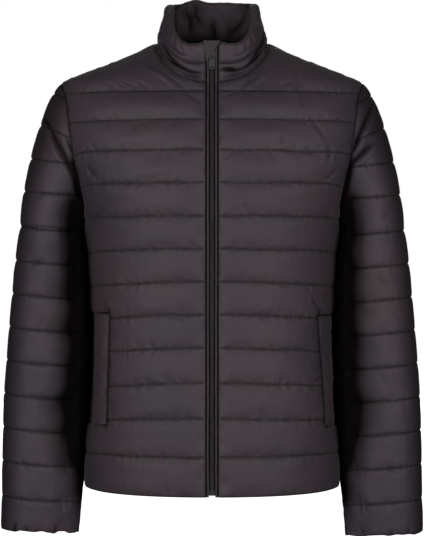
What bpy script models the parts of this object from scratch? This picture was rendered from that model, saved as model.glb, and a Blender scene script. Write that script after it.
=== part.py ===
"""A men's quilted puffer jacket, filled out as it is worn and open at neck, hem and cuffs.

Frame: metres, +Z up, the front faces -Y and the wearer's right side is at -X.
The origin is the middle of the neck base, level with the shoulders' highest points.
All sizes below are in millimetres and turn into metres when a mesh is made.
"""
import math

import bmesh
import bpy
import numpy as np

MM = 0.001

# Cloth: each panel is one padded wall, thin at its seams and quilting lines.
WALL = 3.0               # wall at a stitch line
COLLAR_WALL = 4.0
SEAM_GAP = 0.3           # between two pieces that are sewn together
LAYER_GAP = 0.6          # between two curved layers that lie on each other
CHANNEL_RISE = 6.0       # how far the middle of a channel stands off its stitch lines
PRESSED_RISE = 2.0       # the same where a sleeve and the body lie against each other
PRESSED_FROM = 0.75      # the share of a body panel's width where that starts
ROUNDNESS = 2.4          # superellipse power of the torso's sections
SLEEVE_ROUNDNESS = 2.3

# Neck, shoulders and armholes
NECK_HALF_WIDTH = 80.0
NECK_FRONT_DROP = 64.0
NECK_BACK_DROP = 14.0
NECK_FRONT_POWER = 2.1
NECK_BACK_POWER = 2.5
SHOULDER_HALF_WIDTH = 223.0
SHOULDER_DROP = 60.0
UNDERARM_DROP = 261.5
ARMHOLE_FRONT = 60.0     # how far the armhole reaches forward of the shoulder seam
ARMHOLE_BACK = 62.0

# Zip: widths are from the centre front, depths are out of the front's stitch level
ZIP_OPENING = 10.8       # from the centre to the panel's edge
ZIP_FOOT = 662.0         # where the zip ends, below the origin
RETAINER_HEIGHT = 8.0
STRIP_COLUMNS = ("name", "inner", "outer", "front", "rear")
STRIPS = (
    ("zip_lip", 5.0, 10.5, 1.5, -1.0),
    ("zip_tape", 0.15, 10.4, -1.3, -2.1),
)
CHAIN_HALF_WIDTH = 3.0
CHAIN_FRONT = 0.9
CHAIN_REAR = -1.0
RETAINER_OVER = 1.0      # how far the retainer's box stands past the chain on each side
RETAINER_PROUD = 0.7     # and in front of it
LINE_STEP = 5.0          # the fall over which the centre front's direction is taken

# Slider and pull tab: heights are above the pivot
PIVOT_DROP = 25.0        # below the origin
PIVOT_OUT = 3.2          # out of the front's stitch level
SLIDER_HALF_WIDTH = 4.4
SLIDER_TOP = 9.0
SLIDER_FOOT = -2.4
PLATE_FRONT = 2.2
PLATE_REAR = 1.2
FLANGE_WIDTH = 1.0
FLANGE_REAR = -0.9
BAIL_INNER = 0.95
BAIL_OUTER = 1.75
BAIL_HALF_WIDTH = 0.8
BAIL_SINK = 0.4          # how deep the bail's feet go into the plate
TAB_THICKNESS = 1.0
TAB_HEAD_HALF_WIDTH = 2.2
TAB_HALF_WIDTH = 4.2
TAB_HEAD_TOP = 0.6
TAB_SHOULDER = -3.2
TAB_LENGTH = 17.5
TAB_CORNER = 2.0
TAB_NECK_TOP = 0.8       # how far over and under its shoulder the tab widens
TAB_NECK_FOOT = 1.0
TAB_WINDOW_HALF_WIDTH = 1.2
TAB_SLOT_HALF_WIDTH = 2.4
TAB_SLOT_HEIGHT = 2.0
TAB_SLOT_MIDDLE = -14.6

# The garage flap over the zip's top: its two edges at its top and at its tip
GARAGE_COLUMNS = ("height", "left", "right")
GARAGE = np.array((
    (-31.0, -8.6, -7.0),
    (-4.0, -13.0, 11.4),
))
GARAGE_ROWS = 5
GARAGE_REAR = 2.5
GARAGE_FRONT = 3.7

# The pocket welt, in mesh columns and rows of the front panel, and shares of the row beyond
WELT_FIRST_COLUMN = 5
WELT_LAST_COLUMN = 7
WELT_FIRST_ROW = 4
WELT_LAST_ROW = 10
WELT_FOOT_SHARE = 0.35
WELT_HEAD_SHARE = 0.4
WELT_THICKNESS = 2.0

TORSO_COLUMNS = ("height", "half_width", "front", "back")
TORSO = np.array((
    (-670.0, 188.0, 128.0, 112.0),
    (-620.0, 187.0, 127.0, 110.0),
    (-560.0, 183.0, 125.0, 107.0),
    (-480.0, 178.5, 121.0, 103.0),
    (-400.0, 177.5, 119.0, 101.0),
    (-330.0, 180.5, 119.5, 103.0),
    (-258.0, 187.0, 121.5, 108.0),
    (-200.0, 187.0, 121.0, 111.0),
    (-150.0, 187.0, 115.0, 110.0),
    (-110.0, 187.0, 105.0, 104.0),
    (-75.0, 187.0, 91.0, 94.0),
    (-45.0, 187.0, 72.0, 79.0),
    (-20.0, 187.0, 48.0, 56.0),
    (-8.0, 187.0, 30.0, 36.0),
    (0.0, 187.0, 12.0, 14.0),
))

# The quilting rows, from the hem up: the drop at the centre front and at the side seam.
ROW_COLUMNS = ("centre", "side")
ROWS = np.array((
    (665.0, 661.5),
    (607.0, 610.0),
    (551.0, 560.0),
    (499.0, 511.5),
    (448.0, 461.0),
    (400.0, 411.0),
    (352.0, 362.0),
    (304.0, 312.0),
    (256.5, 261.5),
    (207.0, 212.0),
    (160.0, 164.0),
    (116.0, 118.0),
))

# The armhole seam's reach from the centre, from the underarm up to the shoulder point
ARMHOLE_COLUMNS = ("height", "reach")
ARMHOLE = np.array((
    (-261.5, 187.0),
    (-240.0, 189.0),
    (-200.0, 196.0),
    (-170.0, 203.0),
    (-140.0, 208.0),
    (-110.0, 212.0),
    (-80.0, 216.5),
    (-60.0, 223.0),
))

# The sleeve below the cap: its outer and inner edge, its middle and its half depth
SLEEVE_COLUMNS = ("height", "outer", "inner", "middle", "half_depth")
SLEEVE = np.array((
    (-726.0, 314.0, 202.5, -24.0, 33.0),
    (-678.0, 313.0, 198.5, -20.0, 38.0),
    (-628.0, 312.5, 195.5, -16.0, 40.0),
    (-578.0, 311.5, 192.5, -12.0, 42.0),
    (-528.0, 310.0, 189.5, -8.0, 44.5),
    (-478.0, 306.5, 187.5, -5.0, 47.0),
    (-428.0, 302.7, 186.5, -2.0, 50.0),
    (-378.0, 298.0, 186.5, 0.0, 54.0),
    (-328.0, 293.0, 188.5, 2.0, 59.0),
    (-278.0, 286.0, 193.0, 3.0, 64.0),
))
CAP_FOOT = 278.0         # the drop of the level where the sleeve cap ends
CUFF = 726.0
SLEEVE_PITCH = 50.0      # between a sleeve's quilting rows
SLEEVE_TILT = 0.08       # a sleeve's rows are lower on the side next to the body
SLEEVE_PRESSED_FROM = 0.3    # the cosine of the ring's angle where the body starts to press
SLEEVE_PRESSED_WIDTH = 0.6

# The sleeve cap's middle line leaves the armhole in one direction over the shoulder and in
# another under the arm, and arrives at the cap's foot in a third
CAP_LEAVE_OVER = (0.85, 0.0, -0.53)
CAP_LEAVE_UNDER = (0.25, 0.0, -0.97)
CAP_LEAVE_ASIDE = 0.25   # how far it also leans to the front and the back
CAP_ARRIVE = (0.05, 0.0, -1.0)
CAP_LEAVE_PULL = 0.4     # how strongly the first direction is kept
CAP_RINGS = 4
CAP_RISE = 0.6           # the share of a channel's rise on the cap

# The collar's top edge, half way round from the centre front to the centre back
RIM_COLUMNS = ("turn", "reach", "depth", "height")
RIM = np.array((
    (0.0, 0.0, -88.0, -4.0),
    (25.0, 33.0, -86.5, -9.0),
    (50.0, 54.0, -76.0, 2.5),
    (70.0, 63.0, -54.0, 20.0),
    (90.0, 66.0, -28.0, 37.0),
    (110.0, 67.0, 0.0, 50.0),
    (130.0, 66.5, 26.0, 56.5),
    (152.0, 50.0, 45.0, 60.0),
    (180.0, 0.0, 52.0, 62.0),
))
# How far each row of the collar stands out, from its seam up to its top edge
COLLAR_ROW_COLUMNS = ("share", "rise")
COLLAR_ROWS = np.array((
    (0.0, 0.0),
    (0.12, 3.0),
    (0.26, 1.0),
    (0.4, 4.0),
    (0.52, 2.0),
    (0.78, 5.0),
    (1.0, 1.5),
))

COLLAR_EDGE_RISE = 0.2   # the share of a row's rise that is left at the zip
COLLAR_MIDDLE = (0.0, -20.0, 0.0)

FRONT = -1               # the sign of y on each face of the torso
BACK = 1


def clear_scene():
    for item in list(bpy.data.objects):
        bpy.data.objects.remove(item, do_unlink=True)


def make_material(name, colour, roughness, metallic=0.0):
    material = bpy.data.materials.new(name)
    material.use_nodes = True
    shader = material.node_tree.nodes["Principled BSDF"]
    shader.inputs["Base Color"].default_value = (*colour, 1.0)
    shader.inputs["Roughness"].default_value = roughness
    shader.inputs["Metallic"].default_value = metallic
    return material


def smooth_column(table, columns, name, at):
    """Read a named column of a table as a smooth curve over the table's first column."""
    stations = table[:, 0]
    values = table[:, columns.index(name)]
    slopes = np.gradient(values, stations)
    place = np.clip(at, stations[0], stations[-1])
    low = np.clip(np.searchsorted(stations, place) - 1, 0, len(stations) - 2)
    span = stations[low + 1] - stations[low]
    s = (place - stations[low]) / span
    start = (1 + 2 * s) * (1 - s) ** 2 * values[low] + s * (1 - s) ** 2 * span * slopes[low]
    end = s * s * (3 - 2 * s) * values[low + 1] + s * s * (s - 1) * span * slopes[low + 1]
    return float(start + end)


def mix(first, second, share):
    return first + (second - first) * share


def unit(vector):
    return vector / np.linalg.norm(vector)


# ---------------------------------------------------------------- the torso's form

def torso_depth(facing, height):
    name = "front" if facing == FRONT else "back"
    return smooth_column(TORSO, TORSO_COLUMNS, name, height)


def armhole_angle(height):
    """The armhole's clock angle at a height: 0 at the shoulder point, pi at the underarm."""
    middle = -(UNDERARM_DROP + SHOULDER_DROP) / 2
    half = (UNDERARM_DROP - SHOULDER_DROP) / 2
    return math.acos(np.clip((height - middle) / half, -1.0, 1.0))


def armhole_point(angle):
    """A point of the left-hand (+X) armhole seam; the angle runs 0 to 2 pi, front first."""
    middle = -(UNDERARM_DROP + SHOULDER_DROP) / 2
    half = (UNDERARM_DROP - SHOULDER_DROP) / 2
    height = middle + half * math.cos(angle)
    swing = math.sin(angle)
    depth = -swing * (ARMHOLE_FRONT if swing > 0 else ARMHOLE_BACK)
    return np.array((smooth_column(ARMHOLE, ARMHOLE_COLUMNS, "reach", height), depth, height))


def armhole_inward(angle):
    """The direction of the cloth's thickness at the armhole seam."""
    half = (UNDERARM_DROP - SHOULDER_DROP) / 2
    return unit(np.array((0.0, math.sin(angle) / ARMHOLE_FRONT, -math.cos(angle) / half)))


def half_width(facing, height):
    """Half the width of the superellipse that the torso's section lies on."""
    if height >= -SHOULDER_DROP:
        return mix(NECK_HALF_WIDTH, SHOULDER_HALF_WIDTH, -height / SHOULDER_DROP)
    if height <= -UNDERARM_DROP:
        return smooth_column(TORSO, TORSO_COLUMNS, "half_width", height)
    seam = armhole_point(armhole_angle(height) * (1 if facing == FRONT else -1))
    share = abs(seam[1]) / torso_depth(facing, height)
    return seam[0] / (1 - share ** ROUNDNESS) ** (1 / ROUNDNESS)


def torso_point(facing, height, turn):
    """A point of the torso; turn is 0 at its centre line and pi/2 at the side."""
    x = half_width(facing, height) * math.sin(turn) ** (2 / ROUNDNESS)
    y = facing * torso_depth(facing, height) * max(math.cos(turn), 0.0) ** (2 / ROUNDNESS)
    return np.array((x, y, height))


def turn_at(facing, height, x):
    share = min(x / half_width(facing, height), 1.0)
    return math.asin(share ** (ROUNDNESS / 2))


def outer_turn(facing, height):
    """The turn of a panel's outer edge: its side seam, or its armhole above the underarm."""
    if height <= -UNDERARM_DROP or height >= -SHOULDER_DROP:
        return math.pi / 2
    reach = smooth_column(ARMHOLE, ARMHOLE_COLUMNS, "reach", height)
    return turn_at(facing, height, reach)


def neck_point(turn):
    """A point of the neckline; turn is 0 at the centre front, pi at the centre back."""
    swing = abs(math.sin(turn))
    rest = abs(math.cos(turn))
    if math.cos(turn) > 0:
        height = -NECK_FRONT_DROP * rest ** (2 / NECK_FRONT_POWER)
        x = NECK_HALF_WIDTH * swing ** (2 / NECK_FRONT_POWER)
        facing = FRONT
    else:
        height = -NECK_BACK_DROP * rest ** (2 / NECK_BACK_POWER)
        x = NECK_HALF_WIDTH * swing ** (2 / NECK_BACK_POWER)
        facing = BACK
    point = torso_point(facing, height, turn_at(facing, height, x))
    point[0] = math.copysign(point[0], math.sin(turn))
    return point


def neck_inward(turn):
    """The direction of the cloth's thickness at the neckline: into the neck and down."""
    across = np.array((-math.sin(turn), math.cos(turn), -1.0))
    return unit(across)


def neck_turn_at_zip():
    """The neckline's turn where the front panel's zip edge meets it."""
    return math.asin((ZIP_OPENING / NECK_HALF_WIDTH) ** (NECK_FRONT_POWER / 2))


# ---------------------------------------------------------------- grids and solids

def grid_normals(points, towards):
    """Unit normals of a grid of points, on the side that towards points to."""
    across = np.gradient(points, axis=1)
    along = np.gradient(points, axis=0)
    normals = np.cross(across, along)
    normals /= np.maximum(np.linalg.norm(normals, axis=2, keepdims=True), 1e-9)
    if np.sum(normals * towards) < 0:
        normals = -normals
    return normals


def add_mesh(name, points, faces, material):
    """Make one closed object from points in millimetres, faces turned outwards."""
    mesh = bpy.data.meshes.new(name)
    mesh.from_pydata([tuple(point * MM) for point in points], [], faces)
    work = bmesh.new()
    work.from_mesh(mesh)
    bmesh.ops.triangulate(work, faces=work.faces)
    bmesh.ops.recalc_face_normals(work, faces=work.faces)
    if work.calc_volume(signed=True) < 0:
        bmesh.ops.reverse_faces(work, faces=work.faces)
    work.to_mesh(mesh)
    work.free()
    mesh.shade_smooth()
    mesh.set_sharp_from_angle(angle=math.radians(50))
    mesh.materials.append(material)
    item = bpy.data.objects.new(name, mesh)
    bpy.context.collection.objects.link(item)
    return item


def closed_wall(name, outer, inner, material, tube=False):
    """Close the space between two grids of the same size; a tube joins its last column."""
    rows, columns = outer.shape[:2]
    points = np.concatenate((outer.reshape(-1, 3), inner.reshape(-1, 3)))
    shift = rows * columns
    steps = columns if tube else columns - 1
    faces = []
    for row in range(rows - 1):
        for column in range(steps):
            after = (column + 1) % columns
            a = row * columns + column
            b = row * columns + after
            faces.append((a, b, b + columns, a + columns))
            faces.append((a + shift, a + columns + shift, b + columns + shift, b + shift))
    for row in (0, rows - 1):
        for column in range(steps):
            a = row * columns + column
            b = row * columns + (column + 1) % columns
            faces.append((a, a + shift, b + shift, b))
    if not tube:
        for column in (0, columns - 1):
            for row in range(rows - 1):
                a = row * columns + column
                faces.append((a, a + columns, a + columns + shift, a + shift))
    return add_mesh(name, points, faces, material)


# ---------------------------------------------------------------- body panels

FAN_ROWS = 6             # rows between the last whole row and the shoulder seam
FAN_ZIP_ROWS = 2         # of these, the rows that still end on the front's zip edge
NECK_STEPS = 4           # mesh steps along each quarter of the neckline
NECK_SHARE = 0.4         # the part of the back's top edge that is neckline
FRONT_SHARES = (0.0, 0.1, 0.25, 0.4, 0.54, 0.67, 0.75, 0.83, 1.0)
BACK_SHARES = (0.0, 0.1, 0.2, 0.3, 0.4, 0.6, 0.8, 1.0)


def whole_rows():
    """The drops of a body panel's mesh rows: each stitch line and the channel's middle."""
    rows = []
    for index in range(len(ROWS) - 1):
        rows.append((*ROWS[index], 0.0))
        rows.append((*((ROWS[index] + ROWS[index + 1]) / 2), 1.0))
    rows.append((*ROWS[-1], 0.0))
    return rows


def armhole_drops():
    """The drops of the mesh points on the armhole seam, from the underarm up."""
    whole = [side for _, side, _ in whole_rows() if side <= UNDERARM_DROP]
    fan = [mix(ROWS[-1][1], SHOULDER_DROP, step / FAN_ROWS) for step in range(1, FAN_ROWS + 1)]
    return whole + fan


def facing_angle(facing, height):
    return armhole_angle(height) if facing == FRONT else -armhole_angle(height)


def body_half(facing, shares):
    """The grid of half a body panel, its cloth directions and its rise at each point.

    shares run from 0 at the centre to 1 at the side.
    """
    grid = []
    inward = []
    rise = []
    for centre, side, swell in whole_rows():
        start = turn_at(facing, -centre, ZIP_OPENING) if facing == FRONT else 0.0
        end = outer_turn(facing, -side)
        line = []
        for share in shares:
            height = -mix(centre, side, share ** 2)
            line.append(torso_point(facing, height, mix(start, end, share)))
        directions = [None] * len(shares)
        directions[-1] = np.array((-1.0, 0.0, 0.0))
        if side <= UNDERARM_DROP:
            directions[-1] = armhole_inward(facing_angle(facing, -side))
            line[-1] = armhole_point(facing_angle(facing, -side))
        if facing == FRONT:
            directions[0] = np.array((0.0, 1.0, 0.0))
        grid.append(line)
        inward.append(directions)
        rise.append([swell] * len(shares))
    for step in range(1, FAN_ROWS + 1):
        lift = step / FAN_ROWS
        line = [fan_point(facing, share, lift) for share in shares]
        angle = facing_angle(facing, -mix(ROWS[-1][1], SHOULDER_DROP, lift))
        line[-1] = armhole_point(angle)
        directions = [None] * len(shares)
        if step == FAN_ROWS:
            directions = [top_inward(facing, share) for share in shares]
        directions[-1] = armhole_inward(angle)
        if facing == FRONT:
            directions[0] = fan_front_inward(step)
        grid.append(line)
        inward.append(directions)
        rise.append([0.5 if step < FAN_ROWS else 0.0] * len(shares))
    return np.array(grid), inward, np.array(rise)


def fan_neck_turn(step):
    along = (step - FAN_ZIP_ROWS) / (FAN_ROWS - FAN_ZIP_ROWS)
    return mix(neck_turn_at_zip(), math.pi / 2, along)


def fan_front_inward(step):
    if step < FAN_ZIP_ROWS:
        return np.array((0.0, 1.0, 0.0))
    return neck_inward(fan_neck_turn(step))


def top_inward(facing, share):
    if facing == BACK and share <= NECK_SHARE:
        return neck_inward(math.pi - share / NECK_SHARE * math.pi / 2)
    return np.array((0.0, 0.0, -1.0))


def plan_of(facing, point):
    """A point as its turn and height on the torso."""
    return np.array((turn_at(facing, point[2], abs(point[0])), point[2]))


def fan_inner_edge(facing, lift):
    """The fan's edge at the centre: up the zip and round the neck, or up the centre back."""
    centre = ROWS[-1][0]
    if facing == BACK:
        return np.array((0.0, -mix(centre, NECK_BACK_DROP, lift)))
    step = lift * FAN_ROWS
    if step < FAN_ZIP_ROWS:
        neck_drop = -neck_point(neck_turn_at_zip())[2]
        height = -mix(centre, neck_drop, step / FAN_ZIP_ROWS)
        return np.array((turn_at(facing, height, ZIP_OPENING), height))
    return plan_of(facing, neck_point(fan_neck_turn(step)))


def fan_edges(facing, share, lift):
    """The four edges of the fan between the last whole row and the shoulder seam."""
    centre, side = ROWS[-1]
    side_height = -mix(side, SHOULDER_DROP, lift)
    outer = np.array((outer_turn(facing, side_height), side_height))
    inner = fan_inner_edge(facing, lift)
    first = turn_at(facing, -centre, ZIP_OPENING) if facing == FRONT else 0.0
    base_turn = mix(first, outer_turn(facing, -side), share)
    base = np.array((base_turn, -mix(centre, side, share ** 2)))
    if facing == BACK and share <= NECK_SHARE:
        top = plan_of(facing, neck_point(math.pi - share / NECK_SHARE * math.pi / 2))
    else:
        start = NECK_SHARE if facing == BACK else 0.0
        along = (share - start) / (1 - start)
        top = np.array((math.pi / 2, -SHOULDER_DROP * along))
    return base, top, inner, outer


def fan_point(facing, share, lift):
    """A point of the fan, blended from its four edges."""
    base, top, inner, outer = fan_edges(facing, share, lift)
    corners = [fan_edges(facing, u, v) for u, v in ((0, 0), (1, 0), (0, 1), (1, 1))]
    low = mix(corners[0][2], corners[1][3], share)
    high = mix(corners[2][2], corners[3][3], share)
    plan = mix(base, top, lift) + mix(inner, outer, share) - mix(low, high, lift)
    return torso_point(facing, min(plan[1], 0.0), min(plan[0], math.pi / 2))


def edge_fade(count):
    """1 inside a panel and 0 on its first and last column."""
    fade = np.ones(count)
    fade[0] = 0.0
    fade[-1] = 0.0
    return fade


def swell_across(shares):
    """How full the channels are from the centre to the side, where the sleeve presses."""
    full = []
    for share in shares:
        pressed = np.clip((share - PRESSED_FROM) / (1.0 - PRESSED_FROM), 0.0, 1.0)
        full.append(mix(CHANNEL_RISE, PRESSED_RISE, pressed))
    return np.array(full)


def wall_grids(grid, inward, rise, facing):
    """Outer and inner points of a body panel's wall."""
    normals = grid_normals(grid, np.array((0.0, facing, 0.0)))
    outer = grid + normals * rise[:, :, None]
    inner = grid - normals * WALL
    for row, line in enumerate(inward):
        for column, direction in enumerate(line):
            if direction is not None:
                outer[row, column] = grid[row, column]
                inner[row, column] = grid[row, column] + direction * WALL
    return outer, inner


def front_grids():
    """Outer and inner points of the +X front, and the outward normals between them."""
    grid, inward, rise = body_half(FRONT, FRONT_SHARES)
    rise = rise * swell_across(FRONT_SHARES) * edge_fade(len(FRONT_SHARES))
    outer, inner = wall_grids(grid, inward, rise, FRONT)
    close_seams(outer, FRONT)
    close_seams(inner, FRONT)
    return outer, inner


def close_seams(points, facing):
    """Hold a panel's side, armhole and shoulder edges half a gap off the seam line."""
    points[:, -1, 0] -= SEAM_GAP / 2
    points[-1, :, 1] += facing * SEAM_GAP / 2
    points[:, -1, 1] += facing * SEAM_GAP / 2
    if facing == FRONT:
        points[-1, 0, 1] += facing * SEAM_GAP / 2


def mirrored(points):
    copy = points.copy()
    copy[..., 0] *= -1
    return copy


def make_fronts(material):
    outer, inner = front_grids()
    closed_wall("front_left", outer, inner, material)
    closed_wall("front_right", mirrored(outer), mirrored(inner), material)


def make_back(material):
    grid, inward, rise = body_half(BACK, BACK_SHARES)
    fade = edge_fade(len(BACK_SHARES))
    fade[0] = 1.0
    rise = rise * swell_across(BACK_SHARES) * fade
    outer, inner = wall_grids(grid, inward, rise, BACK)
    close_seams(outer, BACK)
    close_seams(inner, BACK)
    for points in (outer, inner):
        points[:, 0, 0] = 0.0
    outer = np.concatenate((mirrored(outer)[:, :0:-1], outer), axis=1)
    inner = np.concatenate((mirrored(inner)[:, :0:-1], inner), axis=1)
    closed_wall("back", outer, inner, material)


# ---------------------------------------------------------------- sleeves

def sleeve_ring_point(height, angle):
    """A point of the +X sleeve below its cap; angle is 0 outside and pi next to the body."""
    outer = smooth_column(SLEEVE, SLEEVE_COLUMNS, "outer", height)
    inner = smooth_column(SLEEVE, SLEEVE_COLUMNS, "inner", height)
    middle = smooth_column(SLEEVE, SLEEVE_COLUMNS, "middle", height)
    half_depth = smooth_column(SLEEVE, SLEEVE_COLUMNS, "half_depth", height)
    power = 2 / SLEEVE_ROUNDNESS
    swing = math.copysign(abs(math.cos(angle)) ** power, math.cos(angle))
    sway = math.copysign(abs(math.sin(angle)) ** power, math.sin(angle))
    x = (outer + inner) / 2 + (outer - inner) / 2 * swing
    lift = (outer - inner) / 2 * swing * SLEEVE_TILT
    return np.array((x, middle - half_depth * sway, height + lift))


def cap_point(share, angle):
    """A point of the sleeve cap, between the armhole seam and the cap's foot."""
    start = armhole_point(angle)
    end = sleeve_ring_point(-CAP_FOOT, angle)
    upper = (1 + math.cos(angle)) / 2
    chord = np.linalg.norm(end - start)
    leave = mix(np.array(CAP_LEAVE_UNDER), np.array(CAP_LEAVE_OVER), upper)
    leave[1] = -CAP_LEAVE_ASIDE * math.sin(angle)
    s = share
    point = (1 + 2 * s) * (1 - s) ** 2 * start + s * s * (3 - 2 * s) * end
    point += s * (1 - s) ** 2 * unit(leave) * chord * CAP_LEAVE_PULL
    point += s * s * (s - 1) * np.array(CAP_ARRIVE) * chord
    return point


def sleeve_angles():
    """The angles of the sleeve's mesh columns at the armhole seam, and below the cap."""
    half = [armhole_angle(-drop) for drop in reversed(armhole_drops())]
    seam = half + [2 * math.pi - angle for angle in reversed(half[1:-1])]
    even = [2 * math.pi * index / len(seam) for index in range(len(seam))]
    return np.array(seam), np.array(even)


def sleeve_grid():
    """The rings of the +X sleeve from the armhole to the cuff, and the rise at each."""
    seam, even = sleeve_angles()
    grid = []
    for step in range(CAP_RINGS):
        share = step / CAP_RINGS
        grid.append([cap_point(share, angle) for angle in mix(seam, even, share)])
    rise = [0.0] + [CAP_RISE] * (CAP_RINGS - 1)
    height = -CAP_FOOT
    while height > -CUFF + 1:
        grid.append([sleeve_ring_point(height, angle) for angle in even])
        rise.append(0.0)
        step = min(SLEEVE_PITCH, height + CUFF)
        grid.append([sleeve_ring_point(height - step / 2, angle) for angle in even])
        rise.append(1.0)
        height -= step
    grid.append([sleeve_ring_point(-CUFF, angle) for angle in even])
    rise.append(0.0)
    pressed = np.clip((-np.cos(even) - SLEEVE_PRESSED_FROM) / SLEEVE_PRESSED_WIDTH, 0.0, 1.0)
    full = mix(CHANNEL_RISE, PRESSED_RISE, pressed)
    return np.array(grid), np.array(rise)[:, None] * full[None, :], seam


def ring_normals(grid):
    """Outward unit normals of a tube's grid."""
    around = np.roll(grid, -1, axis=1) - np.roll(grid, 1, axis=1)
    along = np.gradient(grid, axis=0)
    normals = np.cross(around, along)
    normals /= np.linalg.norm(normals, axis=2, keepdims=True)
    outwards = grid - grid.mean(axis=1, keepdims=True)
    if np.sum(normals * outwards) < 0:
        normals = -normals
    return normals


def make_sleeves(material):
    grid, rise, angles = sleeve_grid()
    normals = ring_normals(grid)
    outer = grid + normals * rise[:, :, None]
    inner = grid - normals * WALL
    for column, angle in enumerate(angles):
        outer[0, column] = grid[0, column]
        inner[0, column] = grid[0, column] + armhole_inward(angle) * WALL
    for points in (outer, inner):
        points[0, :, 0] += SEAM_GAP / 2
    closed_wall("sleeve_left", outer, inner, material, tube=True)
    closed_wall("sleeve_right", mirrored(outer), mirrored(inner), material, tube=True)


# ---------------------------------------------------------------- collar

def collar_turns():
    """The turns of the collar's mesh columns, at its base and at its rim."""
    quarter = [mix(neck_turn_at_zip(), math.pi / 2, step / NECK_STEPS) for step in range(NECK_STEPS)]
    rear = [math.pi / 2 * (1 + step / NECK_STEPS) for step in range(NECK_STEPS + 1)]
    base = np.array(quarter + rear)
    edge = (base - neck_turn_at_zip()) / (math.pi - neck_turn_at_zip())
    rim = mix(rim_turn_at_zip(), math.pi, edge)
    base = np.concatenate((base, 2 * math.pi - base[-2::-1]))
    rim = np.concatenate((rim, 2 * math.pi - rim[-2::-1]))
    return base, rim


def rim_point(turn):
    """A point of the collar's top edge; turn runs 0 to 2 pi from the centre front."""
    half = turn if turn <= math.pi else 2 * math.pi - turn
    degrees = math.degrees(half)
    reach = smooth_column(RIM, RIM_COLUMNS, "reach", degrees)
    depth = smooth_column(RIM, RIM_COLUMNS, "depth", degrees)
    height = smooth_column(RIM, RIM_COLUMNS, "height", degrees)
    return np.array((math.copysign(reach, math.sin(turn)), depth, height))


def rim_turn_at_zip():
    """The rim's turn where the collar's front edge meets it."""
    low = 0.0
    high = math.pi / 4
    for _ in range(40):
        middle = (low + high) / 2
        if rim_point(middle)[0] < ZIP_OPENING:
            low = middle
        else:
            high = middle
    return low


def collar_base(turn):
    """The neckline, lifted off the body panels' edge by the seam's gap."""
    inward = neck_inward(turn)
    lift = np.array((inward[0], inward[1], -inward[2]))
    return neck_point(turn) + lift * SEAM_GAP


def collar_grids(depth, wall, rises, mitred):
    """Outer and inner points of one layer of the collar, depth inside its outer form.

    A mitred layer's lower edge meets the body panels' edges; the other ends level.
    """
    base, rim = collar_turns()
    grid = []
    for share, _ in COLLAR_ROWS:
        grid.append([mix(collar_base(low), rim_point(high), share) for low, high in zip(base, rim)])
    grid = np.array(grid)
    normals = grid_normals(grid, (grid - np.array(COLLAR_MIDDLE)) * np.array((1.0, 1.0, 0.0)))
    rise_up = 1.0 if mitred else 0.0
    for column, turn in enumerate(base):
        normals[0, column] = unit(np.array((math.sin(turn), -math.cos(turn), rise_up)))
    for column in (0, -1):
        normals[:, column] = np.array((0.0, -1.0, 0.0))
    flatten = np.ones(len(base))
    flatten[0] = COLLAR_EDGE_RISE
    flatten[-1] = COLLAR_EDGE_RISE
    outer = grid + normals * (rises[:, None] * flatten[None, :] - depth)[:, :, None]
    inner = grid - normals * (depth + wall)
    return outer, inner


def make_collar(outer_material, facing_material):
    rises = COLLAR_ROWS[:, COLLAR_ROW_COLUMNS.index("rise")]
    outer, inner = collar_grids(0.0, COLLAR_WALL, rises, mitred=True)
    closed_wall("collar_outer", outer, inner, outer_material)
    outer, inner = collar_grids(COLLAR_WALL + LAYER_GAP, COLLAR_WALL, rises * 0.0, mitred=False)
    closed_wall("collar_facing", outer, inner, facing_material)


# ---------------------------------------------------------------- zip

def front_line(drop):
    """The centre front at a drop below the origin, and the direction out of the cloth."""
    neck = collar_base(neck_turn_at_zip())
    rim = rim_point(rim_turn_at_zip())
    if drop <= -neck[2]:
        share = (-drop - neck[2]) / (rim[2] - neck[2])
        point = mix(neck, rim, share)
        along = unit((rim - neck) * np.array((0.0, 1.0, 1.0)))
    else:
        point = torso_point(FRONT, -drop, turn_at(FRONT, -drop, ZIP_OPENING))
        lower = -drop - LINE_STEP
        lower = torso_point(FRONT, lower, turn_at(FRONT, lower, ZIP_OPENING))
        along = unit((point - lower) * np.array((0.0, 1.0, 1.0)))
    point = point * np.array((0.0, 1.0, 1.0))
    return point, np.array((0.0, -along[2], along[1]))


def zip_drops(top, foot):
    """Where a strip down the front has its mesh rows, from its top to its foot."""
    between = [drop for drop in (*ROWS[::-1, 0], -neck_point(neck_turn_at_zip())[2]) if top < drop < foot]
    return sorted((top, *between, foot))


def front_strip(name, edges, depths, drops, material):
    """A strip down the front: its two edges across, and its front and rear depth."""
    outer = []
    inner = []
    for drop in drops:
        point, out = front_line(drop)
        across = [np.array((x, 0.0, 0.0)) for x in edges]
        outer.append([point + x + out * depths[0] for x in across])
        inner.append([point + x + out * depths[1] for x in across])
    return closed_wall(name, np.array(outer), np.array(inner), material)


def make_zip(cloth, tape, coil):
    rim_drop = -rim_point(rim_turn_at_zip())[2]
    drops = zip_drops(rim_drop, ZIP_FOOT)
    for name, inner, outer, front, rear in STRIPS:
        material = cloth if name == "zip_lip" else tape
        front_strip(name + "_left", (inner, outer), (front, rear), drops, material)
        front_strip(name + "_right", (-outer, -inner), (front, rear), drops, material)
    half = (-CHAIN_HALF_WIDTH, CHAIN_HALF_WIDTH)
    foot = ZIP_FOOT - RETAINER_HEIGHT
    chain_drops = zip_drops(PIVOT_DROP - SLIDER_TOP, foot - SEAM_GAP)
    front_strip("zip_chain", half, (CHAIN_FRONT, CHAIN_REAR), chain_drops, coil)
    box = (-CHAIN_HALF_WIDTH - RETAINER_OVER, CHAIN_HALF_WIDTH + RETAINER_OVER)
    depths = (CHAIN_FRONT + RETAINER_PROUD, CHAIN_REAR)
    front_strip("zip_retainer", box, depths, (foot, ZIP_FOOT), coil)


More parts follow.
